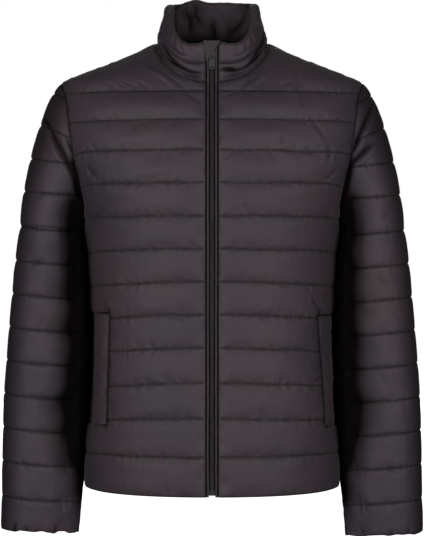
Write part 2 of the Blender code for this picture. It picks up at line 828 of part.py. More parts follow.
def extruded(name, outline, start, end, axis, material):
    """A prism: an outline of two coordinates, run along the third from start to end."""
    others = [index for index in range(3) if index != axis]
    points = []
    for level in (start, end):
        for first, second in outline:
            point = np.zeros(3)
            point[others[0]] = first
            point[others[1]] = second
            point[axis] = level
            points.append(point)
    count = len(outline)
    faces = [tuple(range(count)), tuple(range(count, 2 * count))]
    for index in range(count):
        after = (index + 1) % count
        faces.append((index, after, after + count, index + count))
    return add_mesh(name, points, faces, material)


def arc(centre, radius, start, end, steps):
    """Points of an arc, its angles in degrees."""
    points = []
    for step in range(steps + 1):
        angle = math.radians(mix(start, end, step / steps))
        points.append((centre[0] + radius * math.cos(angle), centre[1] + radius * math.sin(angle)))
    return points


def place_at_pivot(item):
    """Move a piece, modelled about the pivot, to its place and lean on the collar's front."""
    point, out = front_line(PIVOT_DROP)
    item.location = (point + out * PIVOT_OUT) * MM
    item.rotation_euler = (math.atan2(-out[2], -out[1]), 0.0, 0.0)


def combine(item, operand, operation):
    operand.hide_render = True
    operand.display_type = "WIRE"
    modifier = item.modifiers.new(operation.title(), "BOOLEAN")
    modifier.operation = operation
    modifier.object = operand


def make_slider(metal):
    """The slider: a plate with two flanges round the coil, and a bail that holds the pull."""
    front = -(PLATE_FRONT - PIVOT_OUT)
    rear = -(PLATE_REAR - PIVOT_OUT)
    flange = -(FLANGE_REAR - PIVOT_OUT)
    wide = SLIDER_HALF_WIDTH
    narrow = SLIDER_HALF_WIDTH - FLANGE_WIDTH
    channel = [(-wide, front), (wide, front), (wide, flange), (narrow, flange), (narrow, rear),
               (-narrow, rear), (-narrow, flange), (-wide, flange)]
    slider = extruded("zip_slider", channel, SLIDER_FOOT, SLIDER_TOP, 2, metal)
    sunk = front + BAIL_SINK
    outside = arc((0.0, 0.0), BAIL_OUTER, 270, 90, 10)
    inside = arc((0.0, 0.0), BAIL_INNER, 90, 270, 8)
    profile = [(sunk, -BAIL_OUTER), *outside, (sunk, BAIL_OUTER), (sunk, BAIL_INNER), *inside,
               (sunk, -BAIL_INNER)]
    bail = extruded("bail", profile, -BAIL_HALF_WIDTH, BAIL_HALF_WIDTH, 0, metal)
    combine(slider, bail, "UNION")
    place_at_pivot(slider)
    place_at_pivot(bail)


def make_pull(metal):
    """The pull tab: a plate with a window at its head for the bail and a slot at its foot."""
    corner = TAB_CORNER
    foot = -TAB_LENGTH + corner
    neck_top = TAB_SHOULDER + TAB_NECK_TOP
    neck_foot = TAB_SHOULDER - TAB_NECK_FOOT
    outline = [(TAB_HEAD_HALF_WIDTH, TAB_HEAD_TOP), (-TAB_HEAD_HALF_WIDTH, TAB_HEAD_TOP),
               (-TAB_HEAD_HALF_WIDTH, neck_top), (-TAB_HALF_WIDTH, neck_foot)]
    outline += arc((-TAB_HALF_WIDTH + corner, foot), corner, 180, 270, 5)
    outline += arc((TAB_HALF_WIDTH - corner, foot), corner, 270, 360, 5)
    outline += [(TAB_HALF_WIDTH, neck_foot), (TAB_HEAD_HALF_WIDTH, neck_top)]
    half = TAB_THICKNESS / 2
    pull = extruded("zip_pull", outline, -half, half, 1, metal)
    side = TAB_WINDOW_HALF_WIDTH
    window = [(-side, -TAB_HEAD_TOP), (side, -TAB_HEAD_TOP), (side, TAB_SHOULDER), (-side, TAB_SHOULDER)]
    round_end = TAB_SLOT_HEIGHT / 2
    reach = TAB_SLOT_HALF_WIDTH - round_end
    slot = arc((reach, TAB_SLOT_MIDDLE), round_end, -90, 90, 6)
    slot += arc((-reach, TAB_SLOT_MIDDLE), round_end, 90, 270, 6)
    place_at_pivot(pull)
    for name, shape in (("window", window), ("slot", slot)):
        cutter = extruded(name, shape, -TAB_THICKNESS, TAB_THICKNESS, 1, metal)
        place_at_pivot(cutter)
        combine(pull, cutter, "DIFFERENCE")


def make_garage(material):
    """The flap over the zip's top, wide at the rim and narrowing to a tip beside the pull."""
    outer = []
    inner = []
    for row in range(GARAGE_ROWS + 1):
        height = mix(*GARAGE[:, 0], row / GARAGE_ROWS)
        point, out = front_line(-height)
        left = np.interp(height, GARAGE[:, 0], GARAGE[:, 1])
        right = np.interp(height, GARAGE[:, 0], GARAGE[:, 2])
        across = [np.array((x, 0.0, 0.0)) for x in (left, mix(left, right, 0.5), right)]
        outer.append([point + x + out * GARAGE_FRONT for x in across])
        inner.append([point + x + out * GARAGE_REAR for x in across])
    closed_wall("zip_garage", np.array(outer), np.array(inner), material)


# ---------------------------------------------------------------- pockets

def make_welts(material):
    """Each hand pocket's welt, made of the front panel's own points, moved out."""
    panel, _ = front_grids()
    rows = [mix(panel[WELT_FIRST_ROW], panel[WELT_FIRST_ROW - 1], WELT_FOOT_SHARE)]
    rows += [panel[row] for row in range(WELT_FIRST_ROW, WELT_LAST_ROW + 1)]
    rows.append(mix(panel[WELT_LAST_ROW], panel[WELT_LAST_ROW + 1], WELT_HEAD_SHARE))
    patch = np.array(rows)[:, WELT_FIRST_COLUMN:WELT_LAST_COLUMN + 1]
    normals = grid_normals(patch, np.array((0.0, FRONT, 0.0)))
    inner = patch + normals * LAYER_GAP
    outer = patch + normals * (LAYER_GAP + WELT_THICKNESS)
    closed_wall("welt_left", outer, inner, material)
    closed_wall("welt_right", mirrored(outer), mirrored(inner), material)


def main():
    clear_scene()
    nylon = make_material("nylon", (0.045, 0.038, 0.042), 0.45)
    lining = make_material("lining", (0.02, 0.018, 0.019), 0.5)
    tape = make_material("zip_tape", (0.014, 0.014, 0.015), 0.8)
    coil = make_material("zip_coil", (0.012, 0.012, 0.013), 0.35)
    metal = make_material("zip_metal", (0.06, 0.065, 0.065), 0.4, 1.0)
    make_fronts(nylon)
    make_back(nylon)
    make_sleeves(nylon)
    make_collar(nylon, lining)
    make_zip(nylon, tape, coil)
    make_slider(metal)
    make_pull(metal)
    make_garage(nylon)
    make_welts(nylon)


main()
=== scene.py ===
"""A men's quilted puffer jacket in charcoal nylon, filled out as it is worn, with nobody in it.

The front faces -Y and the wearer's right side is at -X. Cloth is worked out in millimetres
and turns into metres when its mesh is made.
"""
import math

import bmesh
import bpy
import numpy as np
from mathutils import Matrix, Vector


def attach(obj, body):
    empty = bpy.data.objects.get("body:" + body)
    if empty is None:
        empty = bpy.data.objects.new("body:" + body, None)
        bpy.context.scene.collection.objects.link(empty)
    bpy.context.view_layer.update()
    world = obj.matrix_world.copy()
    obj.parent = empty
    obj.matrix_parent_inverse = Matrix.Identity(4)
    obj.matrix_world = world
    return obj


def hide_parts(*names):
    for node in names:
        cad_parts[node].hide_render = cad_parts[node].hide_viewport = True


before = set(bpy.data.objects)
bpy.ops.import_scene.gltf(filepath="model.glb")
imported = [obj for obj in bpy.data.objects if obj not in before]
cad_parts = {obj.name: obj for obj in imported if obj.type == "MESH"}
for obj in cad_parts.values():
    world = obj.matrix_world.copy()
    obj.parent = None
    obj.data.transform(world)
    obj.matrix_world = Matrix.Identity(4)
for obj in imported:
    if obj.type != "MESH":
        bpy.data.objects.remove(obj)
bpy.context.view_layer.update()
MM = 0.001

# ---------------------------------------------------------------- camera, light and floor
# A long lens at chest height, a soft box on each side and a larger one behind, and a floor
# of white paper that runs out to a white room.

CAMERA_DISTANCE = 3.5
CAMERA_TILT = math.radians(2.0)
VIEW_WIDTH = 0.636       # what the frame takes in, at the jacket
VIEW_MIDDLE = Vector((0.0, 0.0, -0.336))


def new_item(name, data):
    """A new object in the scene, for a mesh, a lamp or a camera."""
    item = bpy.data.objects.new(name, data)
    bpy.context.scene.collection.objects.link(item)
    return item


camera_data = bpy.data.cameras.new("camera")
camera = new_item("camera", camera_data)
away = Vector((0.0, -math.cos(CAMERA_TILT), math.sin(CAMERA_TILT)))
camera.location = VIEW_MIDDLE + away * CAMERA_DISTANCE
camera.rotation_euler = (-away).to_track_quat("-Z", "Y").to_euler()
camera_data.sensor_fit = "HORIZONTAL"
camera_data.sensor_width = 36.0
camera_data.lens = camera_data.sensor_width * CAMERA_DISTANCE / VIEW_WIDTH
bpy.context.scene.camera = camera
bpy.context.scene.view_settings.view_transform = "Standard"


def linear(hex_colour):
    """An sRGB colour as #rrggbb, as the linear values that a shader takes."""
    values = [int(hex_colour[place:place + 2], 16) / 255 for place in (1, 3, 5)]
    values = [v / 12.92 if v <= 0.04045 else ((v + 0.055) / 1.055) ** 2.4 for v in values]
    return (*values, 1.0)


def new_material(name):
    """A material with its Principled shader, and its node tree to build on."""
    material = bpy.data.materials.new(name)
    material.use_nodes = True
    return material, material.node_tree, material.node_tree.nodes["Principled BSDF"]


def add_node(tree, kind, settings=None, **links):
    """Add a node; settings are its properties or sockets, links are its inputs by name."""
    node = tree.nodes.new(kind)
    for name, value in (settings or {}).items():
        if name in node.inputs:
            node.inputs[name].default_value = value
        else:
            setattr(node, name, value)
    for name, source in links.items():
        tree.links.new(source, node.inputs[name.replace("_", " ")])
    return node


def two_tone(tree, factor, first, second):
    """A ramp from one sRGB colour to another, led by a socket from 0 to 1."""
    ramp = add_node(tree, "ShaderNodeValToRGB", Fac=factor)
    for element, hex_colour in zip(ramp.color_ramp.elements, (first, second)):
        element.color = linear(hex_colour)
    return ramp


def soft_box(name, place, size, power):
    """A square area light at a place, aimed at the jacket's middle."""
    lamp = bpy.data.lights.new(name, "AREA")
    lamp.shape = "SQUARE"
    lamp.size = size
    lamp.energy = power
    item = new_item(name, lamp)
    item.location = place
    item.rotation_euler = (VIEW_MIDDLE - Vector(place)).to_track_quat("-Z", "Y").to_euler()
    item.visible_camera = False


# name, place and size in metres, power in watts
LIGHTS = (
    ("left_light", (-1.02, -1.92, -0.16), 0.9, 21.5),
    ("right_light", (1.02, -1.92, -0.16), 0.9, 19.5),
    ("far_light", (0.0, 3.4, 0.1), 1.8, 30.0),
)
for light in LIGHTS:
    soft_box(*light)

# The room is seen as white, and gives the jacket only a little of its light.
WORLD_FILL = 0.03
world = bpy.data.worlds.new("studio")
world.use_nodes = True
tree = world.node_tree
fill = tree.nodes["Background"]
fill.inputs["Color"].default_value = (1.0, 1.0, 1.0, 1.0)
fill.inputs["Strength"].default_value = WORLD_FILL
seen = add_node(tree, "ShaderNodeBackground", {"Color": (1.0, 1.0, 1.0, 1.0), "Strength": 1.0})
ray = add_node(tree, "ShaderNodeLightPath")
both = tree.nodes.new("ShaderNodeMixShader")
tree.links.new(ray.outputs["Is Camera Ray"], both.inputs[0])
tree.links.new(fill.outputs[0], both.inputs[1])
tree.links.new(seen.outputs[0], both.inputs[2])
tree.links.new(both.outputs[0], tree.nodes["World Output"].inputs["Surface"])
bpy.context.scene.world = world

FLOOR_HEIGHT = -0.86
FLOOR_RADIUS = 30.0
bpy.ops.mesh.primitive_circle_add(vertices=64, radius=FLOOR_RADIUS, fill_type="NGON",
                                  location=(0.0, 0.0, FLOOR_HEIGHT))
floor = bpy.context.object
floor.name = "paper_floor"
bpy.ops.object.transform_apply()
floor.visible_diffuse = False
floor.visible_glossy = False

# Matt white paper, lit from below as well, so that it takes only the jacket's soft shadow
paper, tree, shader = new_material("white_paper")
shader.inputs["Base Color"].default_value = linear("#fbfbfb")
shader.inputs["Roughness"].default_value = 0.9
shader.inputs["Emission Color"].default_value = (1.0, 1.0, 1.0, 1.0)
shader.inputs["Emission Strength"].default_value = 1.0
floor.data.materials.append(paper)

# ---------------------------------------------------------------- fronts and back
# Three padded panels of down-proof nylon, each a shell and a lining with wadding between,
# sewn through along level rows. They meet at the side, shoulder and armhole seams.

WALL = 3.0               # the panel at a stitch line
SEAM_GAP = 0.3
CHANNEL_RISE = 2.9       # how far the middle of a channel stands off its stitch lines
SPRING = 2.4             # how soon the cloth levels out, going away from a stitch line
CLOTH_EASE = 0.008       # how much larger the cloth is cut than the wadding under it
CLOTH_PUSH = 3.0         # how hard the wadding pushes
CLOTH_FRAMES = 12
CLOTH_LIMIT = 5.0        # the most that any point of the cloth may move
STITCH_SINK = 1.3        # how deep the thread pulls into the cloth
SINK_WIDTH = 0.9
UNEVEN_FILL = 0.14       # how much the filling of a channel varies along it
FILL_LENGTH = 55.0
LUMPS = 0.1              # the same, over shorter lengths
LUMP_LENGTH = 21.0
PUCKER_RISE = 1.1        # of the puckers that spring off the stitches
PUCKER_PITCH = 7.5
PUCKER_REACH = 8.0
PATCH_LENGTH = 26.0      # how long a puckered stretch of a row is
DENT_RISE = 0.5          # of the wadding's soft dents
DENT_LENGTH = 30.0
CONTACT_RISE = 3.4       # where a sleeve and the body lie together
ROUNDNESS = 2.4          # superellipse power of the torso's sections
NECK_HALF_WIDTH = 80.0
NECK_FRONT_DROP = 64.0
NECK_BACK_DROP = 14.0
NECK_FRONT_POWER = 2.1
NECK_BACK_POWER = 2.5
SHOULDER_HALF_WIDTH = 223.0
SHOULDER_DROP = 60.0
UNDERARM_DROP = 261.5
ARMHOLE_FRONT = 60.0
ARMHOLE_BACK = 62.0
ZIP_OPENING = 10.8       # from the centre to the front panel's edge
FRONT = -1               # the sign of y on each face of the torso
BACK = 1

# height, half width, depth of the front, depth of the back
TORSO = np.array((
    (-670.0, 188.0, 128.0, 112.0),
    (-620.0, 187.0, 127.0, 110.0),
    (-560.0, 183.0, 125.0, 107.0),
    (-480.0, 178.5, 121.0, 103.0),
    (-400.0, 177.5, 119.0, 101.0),
    (-330.0, 180.5, 119.5, 103.0),
    (-258.0, 187.0, 121.5, 108.0),
    (-200.0, 187.0, 121.0, 111.0),
    (-150.0, 187.0, 115.0, 110.0),
    (-110.0, 187.0, 105.0, 104.0),
    (-75.0, 187.0, 91.0, 94.0),
    (-45.0, 187.0, 72.0, 79.0),
    (-20.0, 187.0, 48.0, 56.0),
    (-8.0, 187.0, 30.0, 36.0),
    (0.0, 187.0, 12.0, 14.0),
))
HALF_WIDTH, FRONT_DEPTH, BACK_DEPTH = 1, 2, 3

# The quilting rows from the hem up: their drop at the centre front and at the side seam
ROWS = np.array((
    (665.0, 661.5),
    (607.0, 610.0),
    (551.0, 563.0),
    (499.0, 515.5),
    (448.0, 465.5),
    (400.0, 415.5),
    (352.0, 365.0),
    (304.0, 314.5),
    (256.5, 261.5),
    (207.0, 212.0),
    (160.0, 164.0),
    (116.0, 118.0),
    (75.0, 76.0),
))

# height and reach of the armhole seam
ARMHOLE = np.array((
    (-UNDERARM_DROP, 187.0),
    (-240.0, 189.0),
    (-200.0, 196.0),
    (-170.0, 203.0),
    (-140.0, 208.0),
    (-110.0, 212.0),
    (-80.0, 216.5),
    (-SHOULDER_DROP, SHOULDER_HALF_WIDTH),
))
REACH = 1


def mix(first, second, share):
    return first + (second - first) * share


def rising(value, start, width):
    """0 up to start, then straight up to 1 over a width."""
    return np.clip((value - start) / width, 0, 1)


def falling(value, end, width):
    """Straight down from 1 over a width, to 0 at end."""
    return np.clip((end - value) / width, 0, 1)


def smooth_column(table, column, at):
    """Read a column of a table as a smooth curve over the table's first column."""
    stations, values = table[:, 0], table[:, column]
    slopes = np.gradient(values, stations)
    place = np.clip(at, stations[0], stations[-1])
    low = np.clip(np.searchsorted(stations, place) - 1, 0, len(stations) - 2)
    span = stations[low + 1] - stations[low]
    s = (place - stations[low]) / span
    start = (1 + 2 * s) * (1 - s) ** 2 * values[low] + s * (1 - s) ** 2 * span * slopes[low]
    end = s * s * (3 - 2 * s) * values[low + 1] + s * s * (s - 1) * span * slopes[low + 1]
    return start + end


def unit(vectors):
    return vectors / np.maximum(np.linalg.norm(vectors, axis=-1, keepdims=True), 1e-9)


ARMHOLE_MIDDLE = -(UNDERARM_DROP + SHOULDER_DROP) / 2
ARMHOLE_HALF = (UNDERARM_DROP - SHOULDER_DROP) / 2


def armhole_angle(height):
    """The armhole's clock angle at a height: 0 at the shoulder point, pi at the underarm."""
    return np.arccos(np.clip((height - ARMHOLE_MIDDLE) / ARMHOLE_HALF, -1.0, 1.0))


def armhole_point(angle):
    """Points of the +X armhole seam; the angle runs 0 to 2 pi, front first."""
    height = ARMHOLE_MIDDLE + ARMHOLE_HALF * np.cos(angle)
    swing = np.sin(angle)
    depth = -swing * np.where(swing > 0, ARMHOLE_FRONT, ARMHOLE_BACK)
    return np.stack((smooth_column(ARMHOLE, REACH, height), depth, height), axis=-1)


def armhole_inward(angle):
    """The direction of the cloth's thickness at the armhole seam."""
    flat = np.zeros_like(angle)
    return unit(np.stack((flat, np.sin(angle) / ARMHOLE_FRONT, -np.cos(angle) / ARMHOLE_HALF), -1))


def torso_depth(facing, height):
    return smooth_column(TORSO, FRONT_DEPTH if facing == FRONT else BACK_DEPTH, height)


def half_width(facing, height):
    """Half the width of the superellipse that the torso's section lies on."""
    above = mix(NECK_HALF_WIDTH, SHOULDER_HALF_WIDTH, -height / SHOULDER_DROP)
    below = smooth_column(TORSO, HALF_WIDTH, height)
    seam = armhole_point(armhole_angle(height) * -facing)
    share = np.minimum(np.abs(seam[..., 1]) / torso_depth(facing, height), 0.98)
    beside = seam[..., 0] / (1 - share ** ROUNDNESS) ** (1 / ROUNDNESS)
    return np.where(height >= -SHOULDER_DROP, above, np.where(height <= -UNDERARM_DROP, below, beside))


def torso_point(facing, height, turn):
    """Points of the torso; turn is 0 at its centre line and pi/2 at the side."""
    x = half_width(facing, height) * np.sin(turn) ** (2 / ROUNDNESS)
    y = facing * torso_depth(facing, height) * np.maximum(np.cos(turn), 0.0) ** (2 / ROUNDNESS)
    return np.stack((x, y, height + 0.0 * x), axis=-1)


def turn_at(facing, height, x):
    share = np.minimum(x / half_width(facing, height), 1.0)
    return np.arcsin(share ** (ROUNDNESS / 2))


def outer_turn(facing, height):
    """The turn of a panel's outer edge: its side seam, or its armhole above the underarm."""
    at_armhole = turn_at(facing, height, smooth_column(ARMHOLE, REACH, height))
    open_side = (height <= -UNDERARM_DROP) | (height >= -SHOULDER_DROP)
    return np.where(open_side, math.pi / 2, at_armhole)


def neck_point(turn):
    """Points of the neckline; turn is 0 at the centre front, pi at the centre back."""
    swing, rest = np.abs(np.sin(turn)), np.abs(np.cos(turn))
    points = []
    for facing, drop, power in ((FRONT, NECK_FRONT_DROP, NECK_FRONT_POWER),
                                (BACK, NECK_BACK_DROP, NECK_BACK_POWER)):
        height = -drop * rest ** (2 / power)
        x = NECK_HALF_WIDTH * swing ** (2 / power)
        points.append(torso_point(facing, height, turn_at(facing, height, x)))
    chosen = np.where(np.cos(turn)[..., None] > 0, points[0], points[1])
    chosen[..., 0] *= np.sign(np.sin(turn))
    return chosen


def neck_inward(turn):
    """The direction of the cloth's thickness at the neckline: into the neck and down."""
    return unit(np.stack((-np.sin(turn), np.cos(turn), -np.ones_like(turn)), axis=-1))


NECK_TURN_AT_ZIP = math.asin((ZIP_OPENING / NECK_HALF_WIDTH) ** (NECK_FRONT_POWER / 2))

# Where mesh rows lie between two stitch lines: close together near the lines
CHANNEL_STEPS = np.array((0.0, 0.018, 0.04, 0.07, 0.11, 0.17, 0.25, 0.34, 0.43,
                          0.52, 0.61, 0.7, 0.78, 0.85, 0.9, 0.94, 0.965, 0.984))
YOKE_STEPS = 30          # mesh rows between the last stitch line and the shoulder seam
NECK_ZIP_SHARE = 0.14    # the part of the yoke's inner edge that is still zip
BACK_NECK_SHARE = 0.4    # the part of the back's top edge that is neckline
FRONT_COLUMNS = 110
ROW_SAG = 1.45            # how the rows' droop grows from the zip to the side
BACK_COLUMNS = 84         # in each half of the back


def row_drops():
    """Each mesh row's drop at the centre and the side, and its share of its channel."""
    drops = []
    for low, high in zip(ROWS[:-1], ROWS[1:]):
        for step in CHANNEL_STEPS:
            drops.append((*mix(low, high, step), step))
    drops.append((*ROWS[-1], 0.0))
    return np.array(drops)


def even_shares(points, count):
    """Shares along a line of points that are evenly spaced in length."""
    lengths = np.concatenate(((0.0,), np.cumsum(np.linalg.norm(np.diff(points, axis=0), axis=1))))
    return np.interp(np.linspace(0, lengths[-1], count), lengths, np.linspace(0, 1, len(lengths)))


def yoke_edges(facing, share, lift):
    """Turn and height on the four edges of the yoke above the last stitch line."""
    centre, side = ROWS[-1]
    height = -mix(side, SHOULDER_DROP, lift)
    outer = np.stack((outer_turn(facing, height), height), -1)
    first = turn_at(facing, -centre, ZIP_OPENING) if facing == FRONT else 0.0
    height = -mix(centre, side, share ** ROW_SAG)
    base = np.stack((mix(first, outer_turn(facing, np.array(-side)), share), height), -1)
    if facing == FRONT:
        neck_drop = -neck_point(np.array(NECK_TURN_AT_ZIP))[2]
        height = -mix(centre, neck_drop, lift / NECK_ZIP_SHARE)
        on_zip = np.stack((turn_at(facing, height, ZIP_OPENING), height), -1)
        along = rising(lift, NECK_ZIP_SHARE, 1 - NECK_ZIP_SHARE)
        neck = neck_point(mix(NECK_TURN_AT_ZIP, math.pi / 2, along))
        on_neck = np.stack((turn_at(facing, neck[..., 2], np.abs(neck[..., 0])), neck[..., 2]), -1)
        inner = np.where((lift < NECK_ZIP_SHARE)[..., None], on_zip, on_neck)
        top = np.stack((np.full_like(share, math.pi / 2), -SHOULDER_DROP * share), -1)
        return base, top, inner, outer
    inner = np.stack((0.0 * lift, -mix(centre, NECK_BACK_DROP, lift)), -1)
    neck = neck_point(math.pi - np.minimum(share / BACK_NECK_SHARE, 1.0) * math.pi / 2)
    on_neck = np.stack((turn_at(facing, neck[..., 2], np.abs(neck[..., 0])), neck[..., 2]), -1)
    along = (share - BACK_NECK_SHARE) / (1 - BACK_NECK_SHARE)
    on_seam = np.stack((np.full_like(share, math.pi / 2), -SHOULDER_DROP * along), -1)
    top = np.where((share <= BACK_NECK_SHARE)[..., None], on_neck, on_seam)
    return base, top, inner, outer


def yoke_grid(facing, shares):
    """The grid between the last stitch line and the shoulder seam, blended from its edges."""
    lifts = np.linspace(0, 1, YOKE_STEPS + 1)[1:]
    share, lift = np.meshgrid(shares, lifts)
    base, top, inner, outer = yoke_edges(facing, share, lift)
    corners = ((0.0, 0.0), (1.0, 0.0), (0.0, 1.0), (1.0, 1.0))
    ends = [yoke_edges(facing, np.array(u), np.array(v)) for u, v in corners]
    low = mix(ends[0][2], ends[1][3], share[..., None])
    high = mix(ends[2][2], ends[3][3], share[..., None])
    plan = mix(base, top, lift[..., None]) + mix(inner, outer, share[..., None])
    plan = plan - mix(low, high, lift[..., None])
    return torso_point(facing, np.minimum(plan[..., 1], 0.0), np.clip(plan[..., 0], 0.0, math.pi / 2))


def half_panel(facing, count):
    """The grid of half a body panel, hem to shoulder, and its share across."""
    level = torso_point(facing, np.array(-350.0), np.linspace(0, 1, 400) * math.pi / 2)
    shares = even_shares(level, count)
    drops = row_drops()
    centre, side = drops[:, 0:1], drops[:, 1:2]
    height = -mix(centre, side, shares[None, :] ** ROW_SAG)
    start = turn_at(facing, -centre, ZIP_OPENING) if facing == FRONT else 0.0 * centre
    turn = mix(start, outer_turn(facing, -side), shares[None, :])
    grid = torso_point(facing, height, turn)
    beside = side[:, 0] <= UNDERARM_DROP
    grid[beside, -1] = armhole_point(armhole_angle(-side[beside, 0]) * -facing)
    return np.concatenate((grid, yoke_grid(facing, shares))), shares


def grid_normals(points, outwards):
    """Unit normals of a grid of points, on the side that outwards points to."""
    across = np.gradient(points, axis=1)
    along = np.gradient(points, axis=0)
    normals = unit(np.cross(across, along))
    if np.sum(normals * outwards) < 0:
        normals = -normals
    return normals


def lattice(seed, u, v):
    """Smooth noise from -1 to 1 over two coordinates; one lump is about one unit wide."""
    table = np.random.default_rng(seed).uniform(-1, 1, (64, 64))
    u0, v0 = np.floor(u).astype(int), np.floor(v).astype(int)
    s, t = u - u0, v - v0
    s, t = s * s * (3 - 2 * s), t * t * (3 - 2 * t)
    low = mix(table[u0 % 64, v0 % 64], table[(u0 + 1) % 64, v0 % 64], s)
    high = mix(table[u0 % 64, (v0 + 1) % 64], table[(u0 + 1) % 64, (v0 + 1) % 64], s)
    return mix(low, high, t)


def lengths_across(grid):
    """How far each point is along its row, in millimetres."""
    steps = np.linalg.norm(np.diff(grid, axis=1), axis=2)
    return np.concatenate((np.zeros((len(grid), 1)), np.cumsum(steps, axis=1)), axis=1)


def near_edge(distance, width=9.0):
    """0 on a seam, rising to 1 a little way in, round as a filled edge is."""
    s = np.clip(distance / width, 0.0, 1.0)
    return np.sqrt(1 - (1 - s) ** 2)


def quilting(channel, share, length, width, seed):
    """How far quilted cloth stands off its stitch lines: the filled channels, the puckers
    that spring off the stitches, and the soft dents of the wadding.

    channel is a whole number, share runs 0 to 1 across it, length runs along it. Each
    channel and line is scaled by an odd number before the noise, so that no two match.
    """
    levelled = (1 - np.exp(-share * width / SPRING)) * (1 - np.exp((share - 1) * width / SPRING))
    filling = UNEVEN_FILL * lattice(seed, length / FILL_LENGTH, channel * 7.3)
    lumps = LUMPS * lattice(seed + 1, length / LUMP_LENGTH, channel * 3.1 + share)
    rise = CHANNEL_RISE * (1 + filling + lumps) * levelled
    nearest = np.minimum(share, 1 - share) * width
    rise -= STITCH_SINK * np.exp(-(nearest / SINK_WIDTH) ** 2)
    for line, away in ((channel, share), (channel + 1, 1 - share)):
        distance = away * width
        slant = lattice(seed + 2, length / 40, line * 5.7) * 0.7
        place = length + slant * distance
        patchy = np.clip(0.4 + 1.0 * lattice(seed + 4, length / PATCH_LENGTH, line * 4.3), 0.0, 1.2)
        puckers = PUCKER_RISE * patchy * lattice(seed + 5, place / PUCKER_PITCH, line * 6.7)
        rise += puckers * np.exp(-distance / PUCKER_REACH) * rising(distance, 0, 2.0)
    rise += DENT_RISE * lattice(seed + 6, length / DENT_LENGTH, channel * 2.0 + share * 2.6) * levelled
    return rise


FOLD_TAPER = 0.35        # the share of a fold's length over which each of its ends dies out
FOLD_STEEP, FOLD_EASY = 0.6, 1.4        # a groove's reach above and below, in fold widths
RIDGE_PLACE, RIDGE_WIDTH, RIDGE_SHARE = 1.7, 0.9, 0.6
SHARP_FOLD = 3.0         # a fold at least this deep takes the full painted shade in its crease


def folds_at(folds, across, up, ridged=1.0, fine=1.1, wander=0.5):
    """How deep a list of folds goes at each point, and how much painted shade each fold's crease puts there.

    Each fold runs from one place to another, as a sharp crease of a depth and width in
    millimetres. With ridged at 1 the cloth below it bulges out over it. Its painted shade is
    at least as wide as fine, and the fold strays from its line by wander times its width.
    """
    place = np.stack((across + 0.0 * up, up + 0.0 * across), -1)
    depth = np.zeros(place.shape[:-1])
    painted_shade = np.zeros(place.shape[:-1])
    for number, (across_a, up_a, across_b, up_b, deep, width) in enumerate(folds):
        start, run = np.array((across_a, up_a)), np.array((across_b - across_a, up_b - up_a))
        along = np.clip(((place - start) @ run) / (run @ run), 0, 1)
        off = place - start - along[..., None] * run
        away = np.linalg.norm(off, axis=-1)
        side = (run[0] * off[..., 1] - run[1] * off[..., 0]) * np.sign(run[0] + 1e-9)
        below = np.where(side < 0, away, -away)
        below += wander * width * lattice(number + 5, along * 4, 0.0 * along)
        ends = np.sqrt(np.clip(np.minimum(along, 1 - along) / FOLD_TAPER, 0, 1))
        groove = np.exp(-np.abs(below) / (np.where(below > 0, FOLD_STEEP, FOLD_EASY) * width))
        ridge = np.exp(-((below - RIDGE_PLACE * width) / (RIDGE_WIDTH * width)) ** 2) * ridged
        depth += deep * ends * (groove - RIDGE_SHARE * ridge)
        spread = np.where(below > 0, max(0.3 * width, fine), max(0.85 * width, fine))
        strength = min((deep / SHARP_FOLD) ** 2, 1)
        painted_shade = np.maximum(painted_shade, ends * strength * np.exp(-np.abs(below) / spread))
    return depth, painted_shade


def settled(points, held, growth=CLOTH_EASE, tube=False):
    """The outer cloth after it has settled by simulation: cut a little larger than the
    wadding under it, it is held on its stitch lines and seams, and pushed out between them.
    """
    rows, columns = points.shape[:2]
    places, index = np.unique(np.round(points.reshape(-1, 3), 2), axis=0, return_inverse=True)
    index = index.reshape(rows, columns)
    if tube:
        index = np.concatenate((index, index[:, :1]), axis=1)
    corners = np.stack((index[:-1, :-1], index[:-1, 1:], index[1:, 1:], index[1:, :-1]), -1).reshape(-1, 4)
    faces = [list(dict.fromkeys(face)) for face in corners.tolist()]
    mesh = bpy.data.meshes.new("settling_cloth")
    mesh.from_pydata((places * MM).tolist(), [], [face for face in faces if len(face) > 2])
    item = new_item("settling_cloth", mesh)
    pinned = np.zeros(len(places))
    np.maximum.at(pinned, index[:, :columns].ravel(), held.ravel())
    group = item.vertex_groups.new(name="held")
    group.add(np.flatnonzero(pinned > 0).tolist(), 1.0, "REPLACE")
    cloth = item.modifiers.new("settling", "CLOTH")
    cloth.settings.mass = 0.05
    cloth.settings.tension_stiffness = 5.0
    cloth.settings.compression_stiffness = 5.0
    cloth.settings.shear_stiffness = 1.7
    cloth.settings.bending_stiffness = 0.15
    cloth.settings.use_pressure = True
    cloth.settings.uniform_pressure_force = CLOTH_PUSH
    cloth.settings.shrink_min = -growth
    cloth.settings.vertex_group_mass = "held"
    cloth.settings.effector_weights.gravity = 0.0
    cloth.collision_settings.use_collision = False
    cloth.point_cache.frame_end = CLOTH_FRAMES
    for step in range(1, CLOTH_FRAMES + 1):
        bpy.context.scene.frame_set(step)
    shown = item.evaluated_get(bpy.context.evaluated_depsgraph_get())
    moved = np.empty(len(places) * 3, np.float32)
    shown.data.vertices.foreach_get("co", moved)
    shift = moved.reshape(-1, 3) / MM - places
    size = np.linalg.norm(shift, axis=1, keepdims=True)
    shift *= np.minimum(1.0, CLOTH_LIMIT / np.maximum(size, 1e-6))
    bpy.context.scene.frame_set(1)
    bpy.data.objects.remove(item)
    bpy.data.meshes.remove(mesh)
    return points + shift[index[:, :columns]]


OFF_THE_LINES = 0.5      # the place in the quilt map of cloth that has no stitch line


def set_painted_shade(mesh, values):
    """Give each point its painted shade, from 0 to 1, for the cloth's materials to darken by."""
    mesh.attributes.new("painted_shade", "FLOAT", "POINT")
    mesh.attributes["painted_shade"].data.foreach_set("value", values.astype(np.float32))


